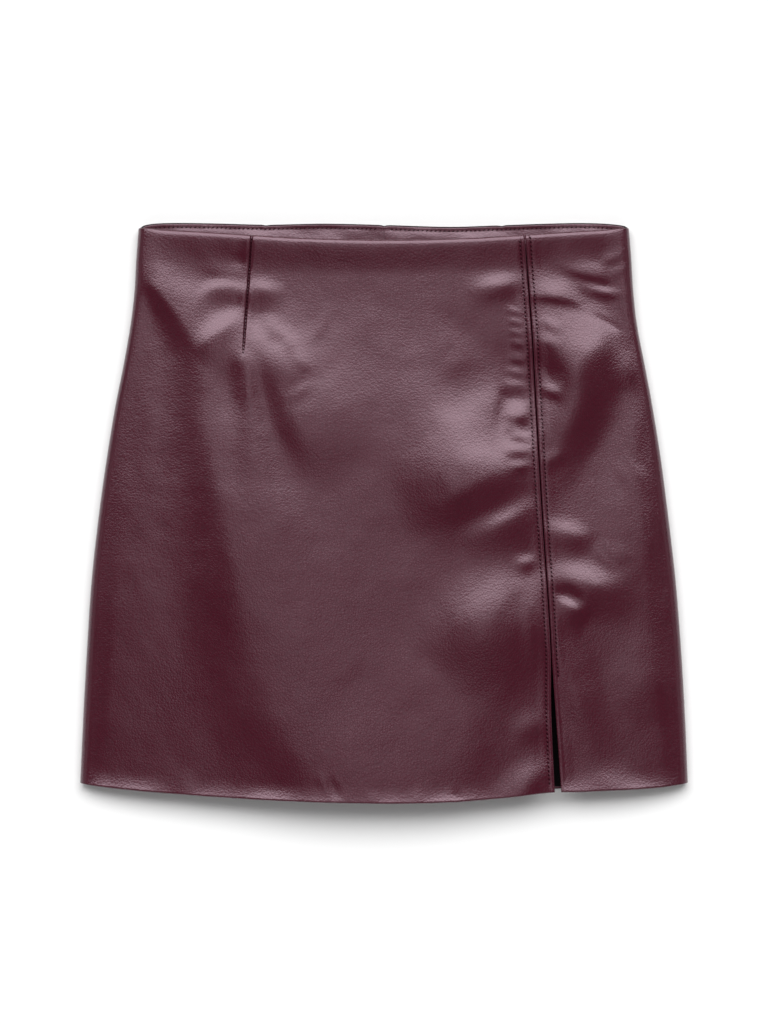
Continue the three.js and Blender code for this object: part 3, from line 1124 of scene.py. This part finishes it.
@dataclass(frozen=True)
class Stitching:
    """A row of stitches, each a short rounded length of thread that dips in at both ends.

    Attributes:
        pitch: From the start of one stitch to the next.
        length: Length of thread that shows.
        thickness: Thickness of the thread.
        slant: How far each stitch turns from the line, in degrees.
    """

    pitch: float = 3.1
    length: float = 2.2
    thickness: float = 0.95
    slant: float = 26.0

    def sew(
        self, name: str, line: Grid, normal: Grid, material: bpy.types.Material
    ) -> bpy.types.Object:
        """Makes the row.

        Args:
            name: The piece's name.
            line: The points that the row follows.
            normal: The cloth's normals there.
            material: The thread.

        Returns:
            The new object.
        """
        gone = np.concatenate([[0], np.cumsum(np.linalg.norm(np.diff(line, axis=0), axis=1))])
        starts = np.arange(self.pitch, gone[-1] - self.pitch, self.pitch)

        def read(rows: Grid, at: Grid) -> Grid:
            """Reads a row of points or normals at distances along the line."""
            return np.stack([np.interp(at, gone, rows[:, k]) for k in range(3)], -1)

        middle, up = read(line, starts), unit(read(normal, starts))
        along = unit(read(line, starts + 0.8) - read(line, starts - 0.8))
        across = np.cross(up, along)
        turn = math.radians(self.slant)
        ahead = along * math.cos(turn) + across * math.sin(turn)
        aside = across * math.cos(turn) - along * math.sin(turn)
        around = np.linspace(0, 2 * math.pi, STITCH_SIDES + 1)[:-1, None]
        ring = np.cos(around) * aside[:, None, :] + np.sin(around) * up[:, None, :]
        rings = []
        for run, size, lift in STITCH_FORM:
            centre = middle + ahead * (run * self.length / 2) + up * (lift * self.thickness)
            rings.append(centre[:, None, :] + ring * (size * self.thickness / 2))
        points = np.stack(rings, 1).reshape(-1, 3)
        count = len(STITCH_FORM) * STITCH_SIDES
        faces = []
        for stitch in range(len(starts)):
            faces += tube_faces(stitch * count, len(STITCH_FORM), STITCH_SIDES)
        return make_piece(name, points, faces, [material])


class Nodes:
    """A node tree that is filled by short calls."""

    def __init__(self, tree: bpy.types.NodeTree) -> None:
        """Starts on an empty tree."""
        self.tree = tree
        tree.nodes.clear()

    def add(
        self, kind: str, sockets: dict[str | int, object] | None = None, **settings: object
    ) -> bpy.types.Node:
        """Adds a node.

        Args:
            kind: The node's type.
            sockets: Values for its inputs, or the outputs that feed them.
            settings: Its other settings.

        Returns:
            The node.
        """
        node = self.tree.nodes.new(kind)
        for name, value in settings.items():
            setattr(node, name, value)
        for name, value in (sockets or {}).items():
            if isinstance(value, bpy.types.NodeSocket):
                self.tree.links.new(value, node.inputs[name])
            else:
                node.inputs[name].default_value = value
        return node

    def value(self, operation: str, *values: object) -> bpy.types.NodeSocket:
        """A Math node's output."""
        return self.add("ShaderNodeMath", dict(enumerate(values)), operation=operation).outputs[0]

    def between(self, share: object, low: object, high: object) -> bpy.types.NodeSocket:
        """Low where the share is 0 and high where it is 1."""
        sockets = {"Value": share, "To Min": low, "To Max": high}
        return self.add("ShaderNodeMapRange", sockets).outputs["Result"]

    def colours(self, share: object, first: object, second: object) -> bpy.types.NodeSocket:
        """The first colour where the share is 0 and the second where it is 1."""
        return self.add("ShaderNodeMix", {0: share, 6: first, 7: second}, data_type="RGBA").outputs[2]


def node_group(
    name: str, inputs: dict[str, float], outputs: list[str]
) -> tuple[Nodes, bpy.types.Node, bpy.types.Node]:
    """Starts a shader node group.

    Args:
        name: Its name.
        inputs: Its number inputs, with their values. It has a Vector input as well.
        outputs: Its outputs.

    Returns:
        The group's tree, its input node and its output node.
    """
    group = bpy.data.node_groups.new(name, "ShaderNodeTree")
    group.interface.new_socket("Vector", in_out="INPUT", socket_type="NodeSocketVector")
    for label, value in inputs.items():
        socket = group.interface.new_socket(label, in_out="INPUT", socket_type="NodeSocketFloat")
        socket.default_value = value
    for label in outputs:
        group.interface.new_socket(label, in_out="OUTPUT", socket_type="NodeSocketFloat")
    nodes = Nodes(group)
    return nodes, nodes.add("NodeGroupInput"), nodes.add("NodeGroupOutput")


def leather_grain() -> bpy.types.NodeTree:
    """The pebbled grain of leather: its height, its fine creases and its slow unevenness.

    Returns:
        The node group.
    """
    sizes = {"Pebbles per metre": 560.0, "Patches per metre": 24.0}
    nodes, given, result = node_group("leather_grain", sizes, ["Height", "Creases", "Patches"])
    place, size = given.outputs["Vector"], given.outputs["Pebbles per metre"]
    warp = nodes.add("ShaderNodeTexNoise", {"Vector": place, "Scale": 260.0, "Detail": 2.0})
    shift = nodes.add("ShaderNodeVectorMath", {0: warp.outputs["Color"], "Scale": 0.0011}, operation="SCALE")
    bent = nodes.add("ShaderNodeVectorMath", {0: place, 1: shift.outputs[0]}, operation="ADD").outputs[0]
    pebbles = nodes.add("ShaderNodeTexVoronoi", {"Vector": bent, "Scale": size}, feature="SMOOTH_F1")
    edges = nodes.add("ShaderNodeTexVoronoi", {"Vector": bent, "Scale": size}, feature="DISTANCE_TO_EDGE")
    creases = nodes.between(nodes.value("MULTIPLY", edges.outputs["Distance"], 5.0), 1.0, 0.0)
    fine = nodes.add("ShaderNodeTexNoise", {"Vector": place, "Scale": 3200.0, "Detail": 3.0})
    waves = {"Vector": place, "Scale": 110.0, "Detail": 3.0, "Distortion": 0.6}
    soft = nodes.add("ShaderNodeTexNoise", waves)
    pits = nodes.add("ShaderNodeTexNoise", {"Vector": place, "Scale": 520.0, "Detail": 2.0})
    dome = nodes.value("SUBTRACT", 1.0, pebbles.outputs["Distance"])
    grooved = nodes.value("SUBTRACT", dome, nodes.value("MULTIPLY", creases, 0.7))
    grained = nodes.value("ADD", grooved, nodes.value("MULTIPLY", fine.outputs["Fac"], 0.35))
    pitted = nodes.value("ADD", grained, nodes.value("MULTIPLY", pits.outputs["Fac"], 1.4))
    height = nodes.value("ADD", pitted, nodes.value("MULTIPLY", soft.outputs["Fac"], 1.8))
    slow = {"Vector": place, "Scale": given.outputs["Patches per metre"], "Detail": 4.0}
    patches = nodes.add("ShaderNodeTexNoise", slow)
    for label, source in (("Height", height), ("Creases", creases), ("Patches", patches.outputs["Fac"])):
        nodes.tree.links.new(source, result.inputs[label])
    return nodes.tree


def fine_weave() -> bpy.types.NodeTree:
    """The rows of a fine knit or woven tape: its height and the shade between its yarns.

    Returns:
        The node group.
    """
    nodes, given, result = node_group("fine_weave", {"Rows per metre": 1300.0}, ["Height", "Gaps"])
    place = {0: given.outputs["Vector"], "Scale": given.outputs["Rows per metre"]}
    scaled = nodes.add("ShaderNodeVectorMath", place, operation="SCALE")
    parts = nodes.add("ShaderNodeSeparateXYZ", {"Vector": scaled.outputs[0]})
    wales, rows = (
        nodes.value("ABSOLUTE", nodes.value("SINE", nodes.value("MULTIPLY", parts.outputs[k], math.pi)))
        for k in range(2)
    )
    height = nodes.value("MULTIPLY", wales, rows)
    for label, source in (("Height", height), ("Gaps", nodes.value("SUBTRACT", 1.0, height))):
        nodes.tree.links.new(source, result.inputs[label])
    return nodes.tree


@dataclass(frozen=True)
class Finish:
    """What every finish shares: a new material with one Principled BSDF.

    Attributes:
        name: The material's name.
        colour: Its main colour.
        roughness: Its mean roughness.
    """

    name: str
    colour: Colour
    roughness: float

    def start(self, sockets: dict[str, object]) -> tuple[Nodes, bpy.types.Node, bpy.types.Material]:
        """Makes the material.

        Args:
            sockets: Values for the shader's own sockets.

        Returns:
            The material's tree, its shader and the material.
        """
        material = bpy.data.materials.new(self.name)
        material.use_nodes = True
        material.diffuse_color = (*self.colour, 1)
        nodes = Nodes(material.node_tree)
        given = {"Base Color": (*self.colour, 1), "Roughness": self.roughness, **sockets}
        shader = nodes.add("ShaderNodeBsdfPrincipled", given)
        nodes.add("ShaderNodeOutputMaterial", {"Surface": shader.outputs[0]})
        return nodes, shader, material


@dataclass(frozen=True)
class LeatherFinish(Finish):
    """Satin leather with a fine pebbled grain.

    Attributes:
        worn: The colour that it takes where it is a little paler.
        crease_shade: The painted shade down in the grain's creases, the near black that its colour darkens
            towards.
        sheen_tint: The tint of its gloss.
        gloss: How strong its gloss is.
        grain: How deep its grain is.
        coat: How much thin clear finish lies on it.
    """

    worn: Colour = (0.0668, 0.0071, 0.0165)
    crease_shade: Colour = (0.012, 0.002, 0.004)
    sheen_tint: Colour = (1.0, 0.76, 0.88)
    gloss: float = 0.77
    grain: float = 0.00005
    coat: float = 0.06

    def make(self, grain: bpy.types.NodeTree) -> bpy.types.Material:
        """Makes the leather's material.

        Args:
            grain: The grain's node group.

        Returns:
            The material.
        """
        nodes, shader, material = self.start({
            "Specular IOR Level": self.gloss,
            "Specular Tint": (*self.sheen_tint, 1),
            "Coat Weight": self.coat,
            "Coat Roughness": 0.3,
        })
        place = nodes.add("ShaderNodeTexCoord").outputs["Object"]
        group = nodes.add("ShaderNodeGroup", node_tree=grain)
        nodes.tree.links.new(place, group.inputs["Vector"])
        paler = nodes.between(group.outputs["Patches"], -0.1, 0.6)
        tone = nodes.colours(paler, (*self.colour, 1), (*self.worn, 1))
        # Painted shade: the base colour darkens towards near black down in the grain's creases.
        creased = nodes.value("MULTIPLY", group.outputs["Creases"], 0.35)
        dark = nodes.colours(creased, tone, (*self.crease_shade, 1))
        nodes.tree.links.new(dark, shader.inputs["Base Color"])
        rough = nodes.between(group.outputs["Patches"], self.roughness - 0.07, self.roughness + 0.07)
        rougher = nodes.value("ADD", rough, nodes.value("MULTIPLY", group.outputs["Creases"], 0.08))
        nodes.tree.links.new(rougher, shader.inputs["Roughness"])
        relief = {"Height": group.outputs["Height"], "Strength": 1.0, "Distance": self.grain}
        bump = nodes.add("ShaderNodeBump", relief)
        nodes.tree.links.new(bump.outputs[0], shader.inputs["Normal"])
        return material


@dataclass(frozen=True)
class ClothFinish(Finish):
    """A knitted backing or a woven tape.

    Attributes:
        gap: The painted shade between its yarns.
        rows: Its rows per metre.
    """

    gap: Colour = (0.004, 0.002, 0.003)
    rows: float = 1300.0

    def make(self, weave: bpy.types.NodeTree) -> bpy.types.Material:
        """Makes the cloth's material.

        Args:
            weave: The weave's node group.

        Returns:
            The material.
        """
        nodes, shader, material = self.start({"Sheen Weight": 0.06, "Specular IOR Level": 0.1})
        place = nodes.add("ShaderNodeTexCoord").outputs["Object"]
        group = nodes.add("ShaderNodeGroup", node_tree=weave)
        group.inputs["Rows per metre"].default_value = self.rows
        nodes.tree.links.new(place, group.inputs["Vector"])
        # Painted shade: the colour darkens to the gap colour down between the yarns.
        tone = nodes.colours(group.outputs["Gaps"], (*self.colour, 1), (*self.gap, 1))
        nodes.tree.links.new(tone, shader.inputs["Base Color"])
        relief = {"Height": group.outputs["Height"], "Strength": 0.8, "Distance": 0.0002}
        bump = nodes.add("ShaderNodeBump", relief)
        nodes.tree.links.new(bump.outputs[0], shader.inputs["Normal"])
        return material


@dataclass(frozen=True)
class ThreadFinish(Finish):
    """Twisted sewing thread, or the moulded coil of a zip where its twist is low.

    Attributes:
        twist: How deep the twist is.
    """

    twist: float = 0.00008

    def make(self) -> bpy.types.Material:
        """Makes the thread's material.

        Returns:
            The material.
        """
        nodes, shader, material = self.start({"Specular IOR Level": 0.05})
        place = nodes.add("ShaderNodeTexCoord").outputs["Object"]
        twisted = {"Vector": place, "Scale": 900.0, "Distortion": 1.5}
        strands = nodes.add("ShaderNodeTexWave", twisted, bands_direction="DIAGONAL")
        # Painted shade: the thread darkens to six tenths of its colour along the grooves of its twist.
        shade = (*(c * 0.6 for c in self.colour), 1)
        tone = nodes.colours(strands.outputs["Fac"], shade, (*self.colour, 1))
        nodes.tree.links.new(tone, shader.inputs["Base Color"])
        bump = nodes.add("ShaderNodeBump", {"Height": strands.outputs["Fac"], "Distance": self.twist})
        nodes.tree.links.new(bump.outputs[0], shader.inputs["Normal"])
        return material


@dataclass(frozen=True)
class PaintedMetalFinish(Finish):
    """The zip slider's painted metal."""

    def make(self) -> bpy.types.Material:
        """Makes the slider's material.

        Returns:
            The material.
        """
        nodes, shader, material = self.start({"Metallic": 0.2, "Coat Weight": 0.5, "Coat Roughness": 0.15})
        place = nodes.add("ShaderNodeTexCoord").outputs["Object"]
        scuffs = nodes.add("ShaderNodeTexNoise", {"Vector": place, "Scale": 700.0, "Detail": 4.0})
        rough = nodes.between(scuffs.outputs["Fac"], self.roughness - 0.1, self.roughness + 0.15)
        nodes.tree.links.new(rough, shader.inputs["Roughness"])
        return material


@dataclass(frozen=True)
class Materials:
    """Every material of the skirt."""

    leather: bpy.types.Material
    backing: bpy.types.Material
    tape: bpy.types.Material
    thread: bpy.types.Material
    coil: bpy.types.Material
    slider: bpy.types.Material


def make_materials() -> Materials:
    """Makes the skirt's materials, with the node groups that they share.

    Returns:
        The materials.
    """
    grain, weave = leather_grain(), fine_weave()
    return Materials(
        leather=LeatherFinish("burgundy_leather", (0.054, 0.0049, 0.0126), 0.19).make(grain),
        # The backing's near black is partly the knit's own dark colour and partly painted shade for the
        # shadowed inside seen through the slit.
        backing=ClothFinish("knitted_backing_and_painted_shade", (0.005, 0.003, 0.004), 0.85).make(weave),
        tape=ClothFinish("zip_tape_weave", (0.03, 0.008, 0.014), 0.8, rows=1800.0).make(weave),
        # The thread's near-black burgundy is partly its own dark colour and partly painted shade for the
        # shadows in and around its stitch holes.
        thread=ThreadFinish("burgundy_thread_and_painted_shade", (0.024, 0.0018, 0.0056), 0.8).make(),
        coil=ThreadFinish("moulded_coil", (0.03, 0.006, 0.012), 0.35, twist=0.00002).make(),
        slider=PaintedMetalFinish("painted_slider", (0.04, 0.006, 0.013), 0.35).make(),
    )


@dataclass
class SkirtFront:
    """The two front panels, the topstitching beside their seam and the stitches of the dart.

    Attributes:
        pattern: The skirt's outline.
        materials: Its materials.
        topstitch: The stitches beside the seam.
        dart_stitch: The stitches of the dart.
        column_step: How far apart the columns are on the open cloth.
        roll_width: The girth with close columns at the side fold, and seam_width at the seam.
        dart_half: Half of the width with close columns at the dart.
        slit_stitch: The y at which the side panel's topstitching starts.
    """

    pattern: Pattern
    materials: Materials
    topstitch: Stitching = Stitching()
    dart_stitch: Stitching = Stitching(pitch=2.6, length=1.9, thickness=0.6, slant=32)
    column_step: float = 2.35
    roll_width: float = 12.0
    seam_width: float = 28.0
    dart_half: float = 4.0
    slit_stitch: float = -126.0

    def girth_to(self, distance: Grid) -> Grid:
        """The girth round the side fold that reaches a distance in from the side."""
        return distance + ROUND_EXTRA * self.pattern.front_roll

    def main_columns(self) -> Columns:
        """The main panel's columns, closer at the side fold, the dart and the seam.

        Returns:
            The columns.
        """
        p = self.pattern

        def lines(y: Grid) -> list[Grid]:
            """Finds the lines between which the columns stand.

            Args:
                y: The y of every point.

            Returns:
                The girth of each line there.
            """
            left = p.half_width(Side.LEFT, y)
            dart = self.girth_to(left + p.dart_x(y))
            seam = self.girth_to(left + p.seam_edge(Side.LEFT, y))
            start = np.zeros_like(y)
            beside_dart = [dart - self.dart_half, dart + self.dart_half]
            return [start, start + self.roll_width, *beside_dart, seam - self.seam_width, seam]

        before, after = even(88, self.column_step), even(196, self.column_step)
        dart = placed(0, 1.1, 2.0, 2.6, 3.1, 3.5, 4.0, 4.5, 4.9, 5.4, 6.0, 6.9, 8.0)
        return Columns((self.roll_steps, before, dart, after, self.seam_steps), lines)

    def side_columns(self) -> Columns:
        """The side panel's columns, closer at the side fold and the seam.

        Returns:
            The columns.
        """
        p = self.pattern

        def lines(y: Grid) -> list[Grid]:
            """Finds the lines between which the columns stand.

            Args:
                y: The y of every point.

            Returns:
                The girth of each line there.
            """
            seam = self.girth_to(p.half_width(Side.RIGHT, y) - p.seam_edge(Side.RIGHT, y))
            start = np.zeros_like(y)
            return [start, start + self.roll_width, seam - self.seam_width, seam]

        return Columns((self.roll_steps, even(56, self.column_step), self.seam_steps), lines)

    @property
    def roll_steps(self) -> tuple[float, ...]:
        """Columns round the side fold."""
        return placed(0, 0.15, 0.4, 1.2, 2.2, 3.4, 4.7, 6.1, 7.6, 9.1, 10.6, 12.0)

    @property
    def seam_steps(self) -> tuple[float, ...]:
        """Columns beside the seam, with one on the line of stitches."""
        near = (0, 0.1, 0.25, 0.45, 0.9, 1.6, 2.3, 2.9, 3.4, 3.9, 4.4, 4.9, 5.8, 7.2)
        return mirrored(*near, *np.linspace(8.8, self.seam_width, 13))

    def build(self) -> list[bpy.types.Object]:
        """Returns:
            The new objects.
        """
        main = FrontPanel("front_main_cloth", Side.LEFT, Layer.FRONT, self.main_columns(), self.pattern)
        side = FrontPanel("front_side_cloth", Side.RIGHT, Layer.FRONT, self.side_columns(), self.pattern)
        side.sewn_from = self.slit_stitch
        surfaces = [self.materials.leather, self.materials.backing]
        made = []
        for panel, node, flat, area in (
            (main, "front_main_panel", (0.357, 0.431), 0.138),
            (side, "front_side_panel", (0.124, 0.423), 0.0405),
        ):
            piece = panel.shell().build(surfaces)
            thread = self.materials.thread
            rows = [self.topstitch.sew(f"{node}_topstitch", *panel.stitch_line(), thread)]
            if panel is main:
                rows.append(self.dart_stitch.sew("dart_stitches", *panel.dart_line(), thread))
            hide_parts(node)
            made += [piece, *rows]
        return made


@dataclass
class SkirtBack:
    """The two back panels and the facings along the inside of their waist.

    Attributes:
        pattern: The skirt's outline.
        materials: Its materials.
        understitch: The stitches along the facings.
        column_step: How far apart the columns are on the open cloth.
        roll_width: The girth with close columns at the side fold.
        centre_width: The width with close columns at the centre seam.
    """

    pattern: Pattern
    materials: Materials
    understitch: Stitching = Stitching(pitch=3.3, length=2.1, thickness=0.85, slant=32)
    column_step: float = 3.6
    roll_width: float = 10.0
    centre_width: float = 4.0

    def columns(self, side: Side) -> Columns:
        """A back panel's columns, closer at the side fold and the centre seam.

        Args:
            side: The side of the skirt that the panel is on.

        Returns:
            The columns.
        """
        p = self.pattern

        def lines(y: Grid) -> list[Grid]:
            """Finds the lines between which the columns stand.

            Args:
                y: The y of every point.

            Returns:
                The girth of each line there.
            """
            centre = p.half_width(side, y) - p.seam_gap / 2 + ROUND_EXTRA * p.back_roll
            start = np.zeros_like(y)
            return [start, start + self.roll_width, centre - self.centre_width, centre]

        roll = placed(0, 0.15, 0.4, 1.2, 2.2, 3.4, 4.7, 6.1, 7.8, 10.0)
        centre = mirrored(0, 0.12, 0.3, 0.6, 1.2, 2.4, 4.0)
        return Columns((roll, even(190, self.column_step), centre), lines)

    def build(self) -> list[bpy.types.Object]:
        """Returns:
            The new objects.
        """
        made = []
        surfaces = [self.materials.leather, self.materials.backing]
        for side in Side:
            word = side.name.lower()
            panel = BackPanel(f"back_{word}_cloth", side, Layer.BACK, self.columns(side), self.pattern)
            piece = panel.shell().build(surfaces)
            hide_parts(f"back_{word}_panel")
            strip = Facing(f"facing_{word}_cloth", side, Layer.BACK, self.columns(side), self.pattern)
            facing = strip.shell().build(surfaces)
            thread = self.materials.thread
            row = self.understitch.sew(f"facing_{word}_stitches", *strip.stitch_line(), thread)
            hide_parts(f"back_facing_{word}")
            made += [piece, facing, row]
        return made


# Across the tape, from one edge to the other.
TAPE_COLUMNS = (0, 0.3, 1, 2, 4, 8, 10.5, 11.1, 11.6, 12, 12.4, 12.9, 13.5, 16, 20, 22, 23, 23.7, 24)
# Along the slider, from its foot to its top: the place, half the width and half the height.
SLIDER_FORM = (
    (-4.6, 0.1, 0.1),
    (-4.3, 1.3, 0.9),
    (-3.4, 2.0, 1.25),
    (-1.5, 2.6, 1.4),
    (1.2, 3.1, 1.4),
    (3.4, 3.0, 1.25),
    (4.4, 2.2, 0.8),
    (4.7, 0.1, 0.1),
)
SLIDER_SIDES = 16


def squared(wave: Grid) -> Grid:
    """A wave with its tops flattened, which squares the circle that it draws."""
    return np.sign(wave) * np.abs(wave) ** 0.6


@dataclass
class BackZip:
    """The closed zip on the inside of the centre back seam.

    Attributes:
        materials: The skirt's materials.
        top: Where the tape starts, below the facing.
        length: The tape's length.
        half_width: Half of the tape's width.
        lying: How high the tape lies over the table.
        tape: The tape's thickness.
        tooth_pitch: From one tooth to the next.
    """

    materials: Materials
    top: float = 175.5
    length: float = 170.0
    half_width: float = 12.0
    lying: float = 1.7
    tape: float = 0.7
    tooth_pitch: float = 1.3

    def make_tape(self) -> bpy.types.Object:
        """Makes the tape, with a raised edge along the coil and a fine selvedge.

        Returns:
            The new object.
        """
        across = np.array(TAPE_COLUMNS) - self.half_width
        along = np.linspace(self.top - self.length, self.top, 60)
        x, y = np.meshgrid(across, along)
        raised = 0.35 * bell(np.abs(x) - 1.2, 0.5) + 0.12 * bell(np.abs(x) - 11, 0.4)
        drop = edge_drop(self.half_width - np.abs(x), np.full_like(x, self.tape / 2))
        upper = np.stack([x, y, self.lying + self.tape + raised - drop], -1)
        lower = np.stack([x, y, self.lying + drop], -1)
        joined = drop > self.tape / 2 - 1e-4
        plain = np.zeros((len(along) - 1, len(across) - 1), bool)
        shell = Shell("zip_tape_cloth", upper, lower, joined, plain, False)
        return shell.build([self.materials.tape])

    def make_teeth(self) -> bpy.types.Object:
        """Makes the coil, as loops across the middle of the tape.

        Returns:
            The new object.
        """
        y = np.arange(self.top - self.length + 3, self.top - 3, 0.5)
        line = np.stack([0 * y, y, 0 * y + self.lying + self.tape + 0.35], -1)
        up = np.zeros_like(line) + np.array([0, 0, 1.0])
        loops = Stitching(pitch=self.tooth_pitch, length=3.2, thickness=0.95, slant=84)
        return loops.sew("zip_coil", line, up, self.materials.coil)

    def make_slider(self) -> bpy.types.Object:
        """Makes the slider's body at the top of the coil, as a rounded shield.

        Returns:
            The new object.
        """
        lengths, widths, heights = np.array(SLIDER_FORM).T
        around = np.linspace(0, 2 * math.pi, SLIDER_SIDES + 1)[:-1]
        x = widths[:, None] * squared(np.cos(around))[None]
        z = heights[:, None] * squared(np.sin(around))[None] + self.lying + self.tape + 1.3
        y = lengths[:, None] + 0 * x + self.top - 7
        points = np.stack([x, y, z], -1).reshape(-1, 3)
        faces = [face[::-1] for face in tube_faces(0, len(lengths), SLIDER_SIDES)]
        return make_piece("zip_slider", points, faces, [self.materials.slider])

    def build(self) -> list[bpy.types.Object]:
        """Makes the zip and hides the imported tape.

        Returns:
            The new objects.
        """
        tape, teeth, slider = self.make_tape(), self.make_teeth(), self.make_slider()
        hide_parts("zip_tape")
        return [tape, teeth, slider]


@dataclass(frozen=True)
class Softbox:
    """A soft panel of light, by its direction from the skirt.

    Attributes:
        tilt: How far it leans from overhead towards +Y, in degrees.
        aside: How far it leans from overhead towards +X, in degrees.
        height: Half of its height, in degrees.
        width: Half of its width, in degrees.
        soft: How wide its edge fades, in degrees.
        strength: How bright it is.
    """

    tilt: float
    aside: float
    height: float
    width: float
    soft: float
    strength: float

    def light(
        self, nodes: Nodes, leaning: bpy.types.NodeSocket, sideways: bpy.types.NodeSocket
    ) -> bpy.types.NodeSocket:
        """Adds the panel to the world.

        Args:
            nodes: The world's tree.
            leaning: A direction's lean towards +Y, in radians.
            sideways: Its lean towards +X, in radians.

        Returns:
            The light that it gives in each direction.
        """

        def band(angle: bpy.types.NodeSocket, middle: float, half: float) -> bpy.types.NodeSocket:
            """Fades a band of directions in and out.

            Args:
                angle: A direction's lean, in radians.
                middle: The lean at the middle of the band, in degrees.
                half: Half of the band's width, in degrees.

            Returns:
                A share that is 1 inside the band and 0 outside it.
            """
            off = nodes.value("ABSOLUTE", nodes.value("SUBTRACT", angle, math.radians(middle)))
            sockets = {
                "Value": off,
                "From Min": math.radians(half + self.soft / 2),
                "From Max": math.radians(max(half - self.soft / 2, 0)),
            }
            eased = nodes.add("ShaderNodeMapRange", sockets, interpolation_type="SMOOTHSTEP")
            return eased.outputs["Result"]

        upright = band(leaning, self.tilt, self.height)
        both = nodes.value("MULTIPLY", upright, band(sideways, self.aside, self.width))
        return nodes.value("MULTIPLY", both, self.strength)


@dataclass(frozen=True)
class Studio:
    """The white table, the soft lights around it and the camera straight above.

    Attributes:
        softboxes: The soft panels of light.
        ambient: The light from everywhere else.
        backdrop: What the camera sees past the table.
        table_tones: The darkest and the lightest tone of the table.
        table_half: Half of the table's width.
        camera_height: How high the camera is.
        focus_height: The height at which the photograph's scale holds.
    """

    softboxes: tuple[Softbox, ...] = (
        Softbox(36, 0, 18, 38, 18, 6.5),
        Softbox(2, 0, 10, 7, 20, 1.7),
        Softbox(-60, 0, 18, 44, 24, 1.1),
        Softbox(0, -70, 30, 17, 14, 0.65),
        Softbox(0, 70, 30, 17, 14, 0.65),
    )
    ambient: float = 0.042
    backdrop: Colour = (0.92, 0.92, 0.92)
    table_tones: tuple[float, float] = (0.925, 0.935)
    table_half: float = 9000.0
    camera_height: float = 3.0
    focus_height: float = 0.008

    def light_world(self) -> None:
        """Lights the scene from all round."""
        world = bpy.data.worlds.new("studio")
        bpy.context.scene.world = world
        world.use_nodes = True
        nodes = Nodes(world.node_tree)
        direction = nodes.add("ShaderNodeTexCoord").outputs["Generated"]
        way = nodes.add("ShaderNodeSeparateXYZ", {"Vector": direction})
        leaning = nodes.value("ARCTAN2", way.outputs["Y"], way.outputs["Z"])
        sideways = nodes.value("ARCSINE", way.outputs["X"])
        total = nodes.value("ADD", self.ambient, 0.0)
        for box in self.softboxes:
            total = nodes.value("ADD", total, box.light(nodes, leaning, sideways))
        lit = nodes.add("ShaderNodeBackground", {"Strength": total})
        seen = nodes.add("ShaderNodeBackground", {"Color": (*self.backdrop, 1)})
        camera = nodes.add("ShaderNodeLightPath").outputs["Is Camera Ray"]
        mixed = nodes.add("ShaderNodeMixShader", {0: camera, 1: lit.outputs[0], 2: seen.outputs[0]})
        nodes.add("ShaderNodeOutputWorld", {"Surface": mixed.outputs[0]})

    def lay_table(self) -> bpy.types.Object:
        """Lays the white surface that the skirt lies on.

        Returns:
            The new object.
        """
        finish = Finish("white_table", (0.93, 0.93, 0.93), 0.9)
        nodes, shader, white = finish.start({"Specular IOR Level": 0.1})
        place = nodes.add("ShaderNodeTexCoord").outputs["Object"]
        patches = nodes.add("ShaderNodeTexNoise", {"Vector": place, "Scale": 3.0})
        dark, light = ((tone, tone, tone, 1) for tone in self.table_tones)
        tone = nodes.colours(patches.outputs["Fac"], dark, light)
        nodes.tree.links.new(tone, shader.inputs["Base Color"])
        turns = ((-1, -1), (1, -1), (1, 1), (-1, 1))
        corners = np.array([[x * self.table_half, y * self.table_half, -0.05] for x, y in turns])
        table = make_piece("table_top", corners, [[0, 1, 2, 3]], [white])
        return table

    def set_camera(self) -> None:
        """Places the camera straight above, at the photograph's scale."""
        data = bpy.data.cameras.new("camera")
        data.sensor_width = 36.0
        data.lens = data.sensor_width * self.camera_height / (PHOTO_LONG_SIDE * MM_PER_PIXEL * MM)
        camera = bpy.data.objects.new("camera", data)
        camera.location = (0, 0, self.camera_height + self.focus_height)
        bpy.context.scene.collection.objects.link(camera)
        bpy.context.scene.camera = camera

    def set_view(self) -> None:
        """Shows the colours as they are."""
        bpy.context.scene.view_settings.view_transform = "Standard"
        bpy.context.scene.view_settings.look = "None"


def main() -> None:
    """Loads the frame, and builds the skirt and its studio."""
    logging.basicConfig(level=logging.INFO, format="%(message)s")
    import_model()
    studio = Studio()
    studio.set_camera()
    studio.set_view()
    studio.light_world()
    studio.lay_table()
    pattern, materials = Pattern(), make_materials()
    pieces = SkirtBack(pattern, materials).build()
    pieces += BackZip(materials).build()
    pieces += SkirtFront(pattern, materials).build()
    for piece in pieces:
        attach(piece, ROOT)
        log.info("%s: %d faces", piece.name, len(piece.data.polygons))
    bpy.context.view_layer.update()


if __name__ == "__main__":
    main()
